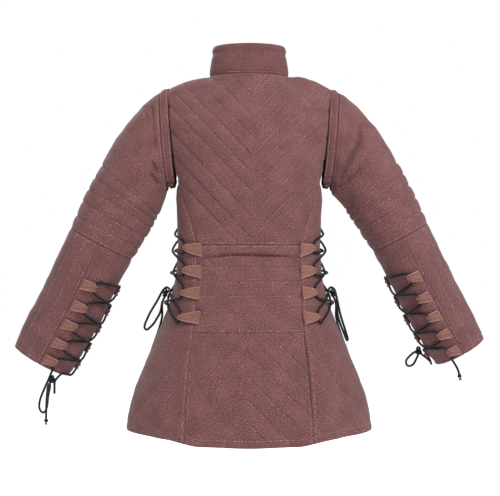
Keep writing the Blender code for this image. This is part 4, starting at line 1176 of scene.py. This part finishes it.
# %% Collar
COLLAR_HEIGHT, COLLAR_HALF, COLLAR_BACK, COLLAR_FRONT = 0.065, 0.077, 0.056, 0.064
COLLAR_OPEN = math.radians(2.5)
turns = even(-math.pi / 2 + COLLAR_OPEN, 3 * math.pi / 2 - COLLAR_OPEN, math.tau / 190)[None]
rise = even(0, 1, 1 / 28)[:, None]
behind = np.sin(turns) > 0
front_share = np.maximum(-np.sin(turns), 0.0) ** 2
half = mix(NECK_HALF, COLLAR_HALF, rise)
depth = np.where(behind, mix(NECK_BACK, COLLAR_BACK, rise), mix(NECK_FRONT, COLLAR_FRONT, rise))
height = mix(-NECK_DIP * front_share + GAP, COLLAR_HEIGHT - 0.5 * NECK_DIP * front_share, rise)
collar = np.stack(np.broadcast_arrays(half * np.cos(turns), depth * np.sin(turns), height), axis=-1)


def collar_roll(size, grid):
    """The top swells over its padding, above a slight hollow."""
    top = size["top"] if grid[0, 0, 2] > grid[-1, 0, 2] else size["bottom"]
    return 0.0016 * np.exp(-(((top - 0.007) / 0.006) ** 2)) - 0.0014 * np.exp(-(((top - 0.018) / 0.005) ** 2))


collar_lines = [beside("top", 0.004), beside("left", 0.005), beside("right", 0.005)]
sew("collar", collar, torso_middles(collar), collar_lines, wall=COLLAR_WALL, material=collar_canvas,
    loose=0.0007, roll=0.0022, flat_edges=("bottom",), extra=collar_roll)

# %% [markdown]
# ## Sleeves
# Each sleeve hangs from a welt over the shoulder and stays open under the arm. Its elbow is
# quilted in close lines across, so that it bends there, and the forearm closes over a gusset
# with laces.

# %% Sleeves and armhole welts
def sleeve_middles(name, stations):
    """The middle of a sleeve at each station."""
    outer, inner = (sleeve_point(name, stations, turn) for turn in (math.pi / 2, -math.pi / 2))
    return (outer + inner) / 2


def at_station(stations, places, depth=0.0024, pitch=0.0060):
    """Quilting across a sleeve at given stations."""
    wide = np.asarray(stations)[:, None]
    return [(lambda size: wide + 0 * size["z"], place, False, depth, pitch) for place in places]


def bunched(size, grid):
    """The welt's ends are tucked and bunched under the arm."""
    end = np.minimum(size["left"], size["right"])
    return np.exp(-((end / 0.022) ** 2)) * (0.0022 + 0.0030 * np.sin(end / 0.0026 + 60 * size["top"]))


LACED_FROM = 0.068          # the forearm's seam is closed this far below the elbow, then open
BACK_SEAM, FRONT_SEAM = 0.0014, 0.003       # how far each edge stands off its seam, in radians


def closed(edge):
    """Take the roll out of a seam where it is sewn shut, above the laced opening."""
    return lambda size, grid: (0.0013 * np.exp(-((size[edge] / EDGE_ROLL) ** 2))
                               * eased((LACED_FROM - size["top"]) / 0.010))

# %% [markdown]
# A sleeve is sewn in four parts: the tube above the elbow, the forearm, the gusset behind its
# laces, and the welt over the shoulder. The forearm and gusset share their stations, so the two
# edges of the laced seam lie level. The welt narrows over its last few degrees at each end.

# %% Sew the sleeves
FOREARM_LINES = (0.030, 0.060, 0.095, 0.130, 0.165, 0.200)
STRIP_FROM, STRIP_TO, STRIP_TAPER = -70, 250, 14        # degrees round the arm
for name in SIDES:
    stations = even(0.0, ELBOW, 5 / 124)
    turns = np.linspace(0, math.tau, 161)
    grid = sleeve_point(name, stations[:, None], turns[None])
    lines = at_station(stations, (3.28, 3.68, 4.02, 4.36, 4.68))
    lines += [beside("bottom", 0.0045), beside("top", 0.004)]
    sew(f"upper_sleeve_{name}", grid, sleeve_middles(name, stations), lines, ring=True, puff=0.0011,
        loose=0.0009)

    stations = even(ELBOW + 0.008, CUFF, 4 / 100)
    middles = sleeve_middles(name, stations)
    turns = np.linspace(GUSSET_BACK + BACK_SEAM, GUSSET_FRONT + math.tau - FRONT_SEAM, 108)
    grid = sleeve_point(name, stations[:, None], turns[None])
    lines = [beside("left", distance, 0.0005, 0.0060) for distance in FOREARM_LINES]
    lines += within([beside("left", 0.0035, 0.0014, 0.0040)], lambda size: size["top"] > LACED_FROM)
    lines += [beside("right", 0.0035, 0.0010, 0.0046), beside("bottom", 0.009, 0.0016), beside("top", 0.004)]
    sew(f"forearm_{name}", grid, middles, lines, loose=0.0007, extra=closed("left"))

    turns = np.linspace(GUSSET_FRONT + FRONT_SEAM, GUSSET_BACK - BACK_SEAM, 50)
    grid = sleeve_point(name, stations[:, None], turns[None])
    sew(f"forearm_gusset_{name}", grid, middles, [beside("bottom", 0.009, 0.0016)], loose=0.0010,
        extra=closed("right"))

    stations = np.linspace(-1.12, -0.045, 14)
    turns = np.linspace(STRIP_FROM, STRIP_TO, 210)
    from_end = np.minimum(turns - STRIP_FROM, STRIP_TO - turns)
    narrow = np.clip(0.45 + from_end / STRIP_TAPER, 0.45, 1.0)
    wide = mix(-0.35, stations[:, None], narrow[None])
    grid = sleeve_point(name, wide, np.radians(turns)[None])
    lines = [beside("top", 0.0035), beside("bottom", 0.0035)]
    sew(f"armhole_strip_{name}", grid, sleeve_middles(name, stations), lines, wall=STRIP_WALL,
        material=collar_canvas, roll=0.0016, extra=bunched)

# %% [markdown]
# ## Tape loops
# Each loop is a strip of cotton tape, folded in two round the lace and sewn into the seam. At
# the waist the tapes are pulled on the slant, so each looks like a small pennant.

# %% Loops
WAIST_LOOPS = {"back": ((-0.368, 0.19), (-0.416, 0.18), (-0.463, 0.165), (-0.514, 0.15)),
               "front": ((-0.338, 0.80), (-0.386, 0.81), (-0.433, 0.825), (-0.484, 0.84))}
SLEEVE_LOOPS = {"back": (6.16, 6.80, 7.44, 8.08, 8.70), "front": (6.06, 6.70, 7.34, 7.98, 8.60)}
TAPE = 0.0011
# The tape's long edges get a lighter finish: a painted highlight where light catches the folded edges.
edge_highlight_finish = woven("tape_edge_painted_highlight", (0.270, 0.145, 0.125), (0.400, 0.250, 0.220), (0.120, 0.055, 0.047),
                 roughness=0.85, scale=1.6)
ACROSS_TAPE = np.array((-1.0, -0.90, -0.72, -0.5, -0.25, 0.0, 0.25, 0.5, 0.72, 0.90, 1.0))


def tape_loop(name, node, place, side, front, station, eye_share, step, shape, draw):
    """A folded tape from its seam to the lace and back."""
    base, fold, slant, second, root_share = shape
    root = place(side, 1.0 - root_share if front else root_share, station, 0.0014)
    eye = place(side, eye_share, station, LOW)
    above, below = place(side, eye_share, station - step, LOW), place(side, eye_share, station + step, LOW)
    along = (below - above) / np.linalg.norm(below - above)
    up = eye - place(side, eye_share, station, 0.0)
    up /= np.linalg.norm(up)
    out = np.cross(along, up)
    out = out if out.dot(eye - root) > 0 else -out
    reach, height = (eye - root).dot(out), (eye - root).dot(up)
    bend = CORD / 2 + 0.0005 + TAPE / 2
    profile = [(-reach, -height + 0.0020), (-reach * 0.75, -height * 0.62 + 0.0026),
               (-reach * 0.48, -height * 0.25 + 0.0032), (-reach * 0.22, bend * 0.95)]
    profile += [(bend * math.sin(a), bend * math.cos(a)) for a in np.linspace(0.15, math.pi * 0.9, 7)]
    profile += [(-reach * 0.25, -bend * 0.80), (-reach * 0.60, -height * 0.70 - 0.0004), (-reach, -height)]
    skew = draw.uniform(-0.0010, 0.0010)
    middle = []
    for at, (flat, high) in enumerate(profile):
        toward = float(np.clip(-flat / reach, 0, 1))
        half = mix(fold, base, toward**0.9)
        under = at > len(profile) / 2
        shift = slant * toward + skew + (second if under else 0.0) * toward
        row = []
        for column in ACROSS_TAPE:
            pleat = 0.0017 * math.sin(column * 5.2 + at * 0.6 + skew * 1500) * (1 - 0.5 * toward)
            pleat += 0.0008 * math.sin(at * 2.3 - column * 2.6 + skew * 2600)
            cup = -0.0009 * column**2 * (1 - toward)
            lift = high + (pleat + cup) * (0.3 if under else 1.0)
            row.append(eye + out * flat + up * lift + along * (half * column + shift))
        middle.append(row)
    grid = np.array(middle)
    facing = np.cross(np.gradient(grid, axis=0), np.gradient(grid, axis=1))
    facing /= np.linalg.norm(facing, axis=2, keepdims=True)
    rows_n, columns = grid.shape[:2]
    points = np.concatenate([(grid + facing * TAPE / way).reshape(-1, 3) for way in (2, -2)])
    faces, highlighted_edges = [], []
    offset = rows_n * columns
    for i in range(rows_n - 1):
        for j in range(columns - 1):
            a, b = i * columns + j, (i + 1) * columns + j
            faces.append((a, b, b + 1, a + 1))
            faces.append((a + offset, a + 1 + offset, b + 1 + offset, b + offset))
            highlighted_edges += [j in (0, columns - 2)] * 2
    border = [i * columns for i in range(rows_n)] + [(rows_n - 1) * columns + j for j in range(1, columns)]
    border += [i * columns + columns - 1 for i in range(rows_n - 2, -1, -1)] + list(range(columns - 2, 0, -1))
    for a, b in zip(border, border[1:] + border[:1]):
        faces.append((b, a, a + offset, b + offset))
        highlighted_edges.append(abs(a - b) == columns)
    faces = np.array(faces)
    corners = points[faces.reshape(-1)] - eye
    flat_uv = np.stack((corners @ along, corners @ out + corners @ up), axis=1)
    piece = mesh_piece(name, points, faces, tape_cloth, flat_uv)
    # The edge faces take the lighter finish, a painted highlight along the tape's folded edges.
    piece.data.materials.append(edge_highlight_finish)
    piece.data.polygons.foreach_set("material_index", [int(edge) for edge in highlighted_edges])
    smooth = piece.modifiers.new("soft tape", "SUBSURF")
    smooth.levels = smooth.render_levels = 1
    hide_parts(node)
    return piece

# %% [markdown]
# Four loops a side are sewn to each waist seam and five to each edge of a forearm's opening. A
# little chance in their pleats and skew keeps them from looking stamped out.

# %% Make the loops
# half width at the seam, half width at the lace, slant, how far the under tape shows, root's share
WAIST_TAPE = {"left": (0.0150, 0.0038, 0.0098, 0.0030, -0.09),
              "right": (0.0150, 0.0038, 0.0098, 0.0030, -0.03)}
SLEEVE_TAPE = (0.0125, 0.0085, 0.0010, 0.0042, 0.0)

draw = random.Random(11)
loops = {}
for name in SIDES:
    for label, rows in WAIST_LOOPS.items():
        front = label == "front"
        own = [tape_loop(f"tape_waist_{label}_{name}_{at}", f"waist_loop_{label}_{name}_{at}",
                         waist_gap_point, name, front, height, share, -0.01, WAIST_TAPE[name], draw)
               for at, (height, share) in enumerate(rows, 1)]
        loops.setdefault(f"side_{name}", []).extend(own)
    for label, rows in SLEEVE_LOOPS.items():
        front = label == "front"
        share = 0.80 if front else 0.20
        own = [tape_loop(f"tape_sleeve_{label}_{name}_{at}", f"sleeve_loop_{label}_{name}_{at}",
                         sleeve_gap_point, name, front, station, share, 0.12, SLEEVE_TAPE, draw)
               for at, station in enumerate(rows, 1)]
        loops.setdefault(f"forearm_gusset_{name}", []).extend(own)
print("tape loops", sum(len(own) for own in loops.values()))

# %% [markdown]
# ## Buttons
# The fronts are closed by plain buttons covered in the garment's own cloth. A covered button is
# a shallow dome whose cloth is drawn in behind, and it stands on a short shank of thread.

# %% Buttons
BUTTONS, SPOKES = 4, 40
# from the dome's middle, round its rim and down its shank: shares of the radius and the thickness
OUTLINE = ((0.0, -0.50), (0.30, -0.47), (0.58, -0.38), (0.80, -0.24), (0.94, -0.06), (0.985, 0.08),
           (0.93, 0.22), (0.80, 0.32), (0.55, 0.40), (0.28, 0.44), (0.24, 0.60), (0.24, 1.12), (0.0, 1.12))
for number in range(1, BUTTONS + 1):
    low, high = (np.array(corner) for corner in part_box(f"button_{number}"))
    centre, radius, thick = (low + high) / 2, (high[0] - low[0]) / 2, high[1] - low[1]
    points, faces = [], []
    for at, (out, deep) in enumerate(OUTLINE):
        for spoke in range(SPOKES):
            angle = math.tau * spoke / SPOKES
            gather = 1 + (0.018 * math.sin(9 * angle + number) if 3 <= at <= 8 else 0.0)
            reach = radius * out * gather
            points.append(centre + (reach * math.cos(angle), thick * deep, reach * math.sin(angle)))
    for at in range(len(OUTLINE) - 1):
        for spoke in range(SPOKES):
            a, b = at * SPOKES + spoke, at * SPOKES + (spoke + 1) % SPOKES
            faces.append((a, b, b + SPOKES, a + SPOKES))
    points, faces = np.array(points), np.array(faces)
    spot = points[faces.reshape(-1)]
    button = mesh_piece(f"covered_button_{number}", points, faces, collar_canvas, spot[:, [0, 2]])
    shape = bmesh.new()
    shape.from_mesh(button.data)
    bmesh.ops.remove_doubles(shape, verts=shape.verts, dist=1e-6)
    bmesh.ops.recalc_face_normals(shape, faces=shape.faces)
    shape.to_mesh(button.data)
    shape.free()
    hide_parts(f"button_{number}")
    print(button.name, "radius", round(float(radius), 4))

# %% [markdown]
# A buttonhole is a slit worked round with close stitches. Each runs level from under its button,
# away from the edge of the front that lies on top, so the button rests at the slit's outer end.

# %% Worked buttonholes
SLIT_FROM, SLIT_TO, SLIT_HALF, STITCH_STEP = -0.019, 0.001, 0.0013, 0.0011
over_front = cloth_pieces["front_right"]
skin = BVHTree.FromObject(over_front["piece"], bpy.context.evaluated_depsgraph_get())
places, ways = [], []
for number in range(1, BUTTONS + 1):
    low, high = (np.array(corner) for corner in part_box(f"button_{number}"))
    height = (low[2] + high[2]) / 2
    for x in np.arange(SLIT_FROM, SLIT_TO, STITCH_STEP):
        places += [(x, height + SLIT_HALF), (x, height - SLIT_HALF)]
        ways += [(0.0, 0.0, 1.0)] * 2
    for rise in (-0.0012, 0.0, 0.0012):
        places.append((SLIT_FROM - 0.001, height + rise))
        ways.append((1.0, 0.0, 0.0))
hits = [skin.ray_cast(Vector((x, -1.0, z)), Vector((0.0, 1.0, 0.0))) for x, z in places]
spots = np.array([hit[0] for hit in hits])
ups = np.array([hit[1] for hit in hits])
worked = stitch_mesh("worked_buttonholes", spots, np.array(ways), ups, 0.0026, 0.0010, 0.0007)
over_front["with"].append(worked)
print("buttonhole stitches", len(spots))

# %% [markdown]
# ## The panels
# Each panel's size and area were measured on its own grid in sew, before the quilting moved it.
# Here each panel's stitches and loops are gathered, and the panels are counted.

for name, cloth in cloth_pieces.items():
    own = cloth["with"] + loops.get(name, [])
print("sheets", len(cloth_pieces))

# %% [markdown]
# ## Floor and light
# The floor is plain and pale, half a metre below the hem. A large soft light stands behind the
# garment towards the wearer's right arm, and a wide weak one towards the left. A third lights the
# front, and the room itself is bright, so no shadow goes black.

# %% Studio
FLOOR_Z, FLOOR_HALF = -1.30, 9
floor_mesh = bpy.data.meshes.new("studio_floor")
corners = [(x * FLOOR_HALF, y * FLOOR_HALF, FLOOR_Z) for x, y in ((-1, -1), (1, -1), (1, 1), (-1, 1))]
floor_mesh.from_pydata(corners, [], [(0, 1, 2, 3)])
floor = placed("studio_floor", floor_mesh)
floor_finish = bpy.data.materials.new("pale_floor")
floor_finish.use_nodes = True
shader = floor_finish.node_tree.nodes["Principled BSDF"]
shader.inputs["Base Color"].default_value = (0.92, 0.92, 0.92, 1.0)
shader.inputs["Roughness"].default_value = 1.0
shader.inputs["Emission Color"].default_value = (1.0, 1.0, 1.0, 1.0)
shader.inputs["Emission Strength"].default_value = 0.12
floor_mesh.materials.append(floor_finish)

world = bpy.data.worlds.new("bright_room")
world.use_nodes = True
world.node_tree.nodes["Background"].inputs["Color"].default_value = (1.0, 1.0, 1.0, 1.0)
world.node_tree.nodes["Background"].inputs["Strength"].default_value = 1.0
bpy.context.scene.world = world
bpy.context.scene.view_settings.view_transform = "Standard"


def soft_light(name, place, aim, size, power):
    """A square soft light that looks at a point."""
    lamp = bpy.data.lights.new(name, "AREA")
    lamp.size = size
    lamp.energy = power
    light = placed(name, lamp)
    light.location = place
    light.rotation_euler = (Vector(aim) - Vector(place)).to_track_quat("-Z", "Y").to_euler()


soft_light("key_light", (-1.1, 2.0, 1.3), (0.0, 0.0, -0.35), 0.9, 112)
soft_light("fill_light", (1.6, 2.3, 0.4), (0.0, 0.0, -0.4), 1.8, 16)
soft_light("front_light", (1.6, -2.2, 1.3), (0.0, 0.0, -0.4), 1.2, 90)

# %% [markdown]
# ## Finish
# The made garment has to fill the same box as its frame. The scene is brought up to date at the end.

# %% Finish
bpy.context.view_layer.update()
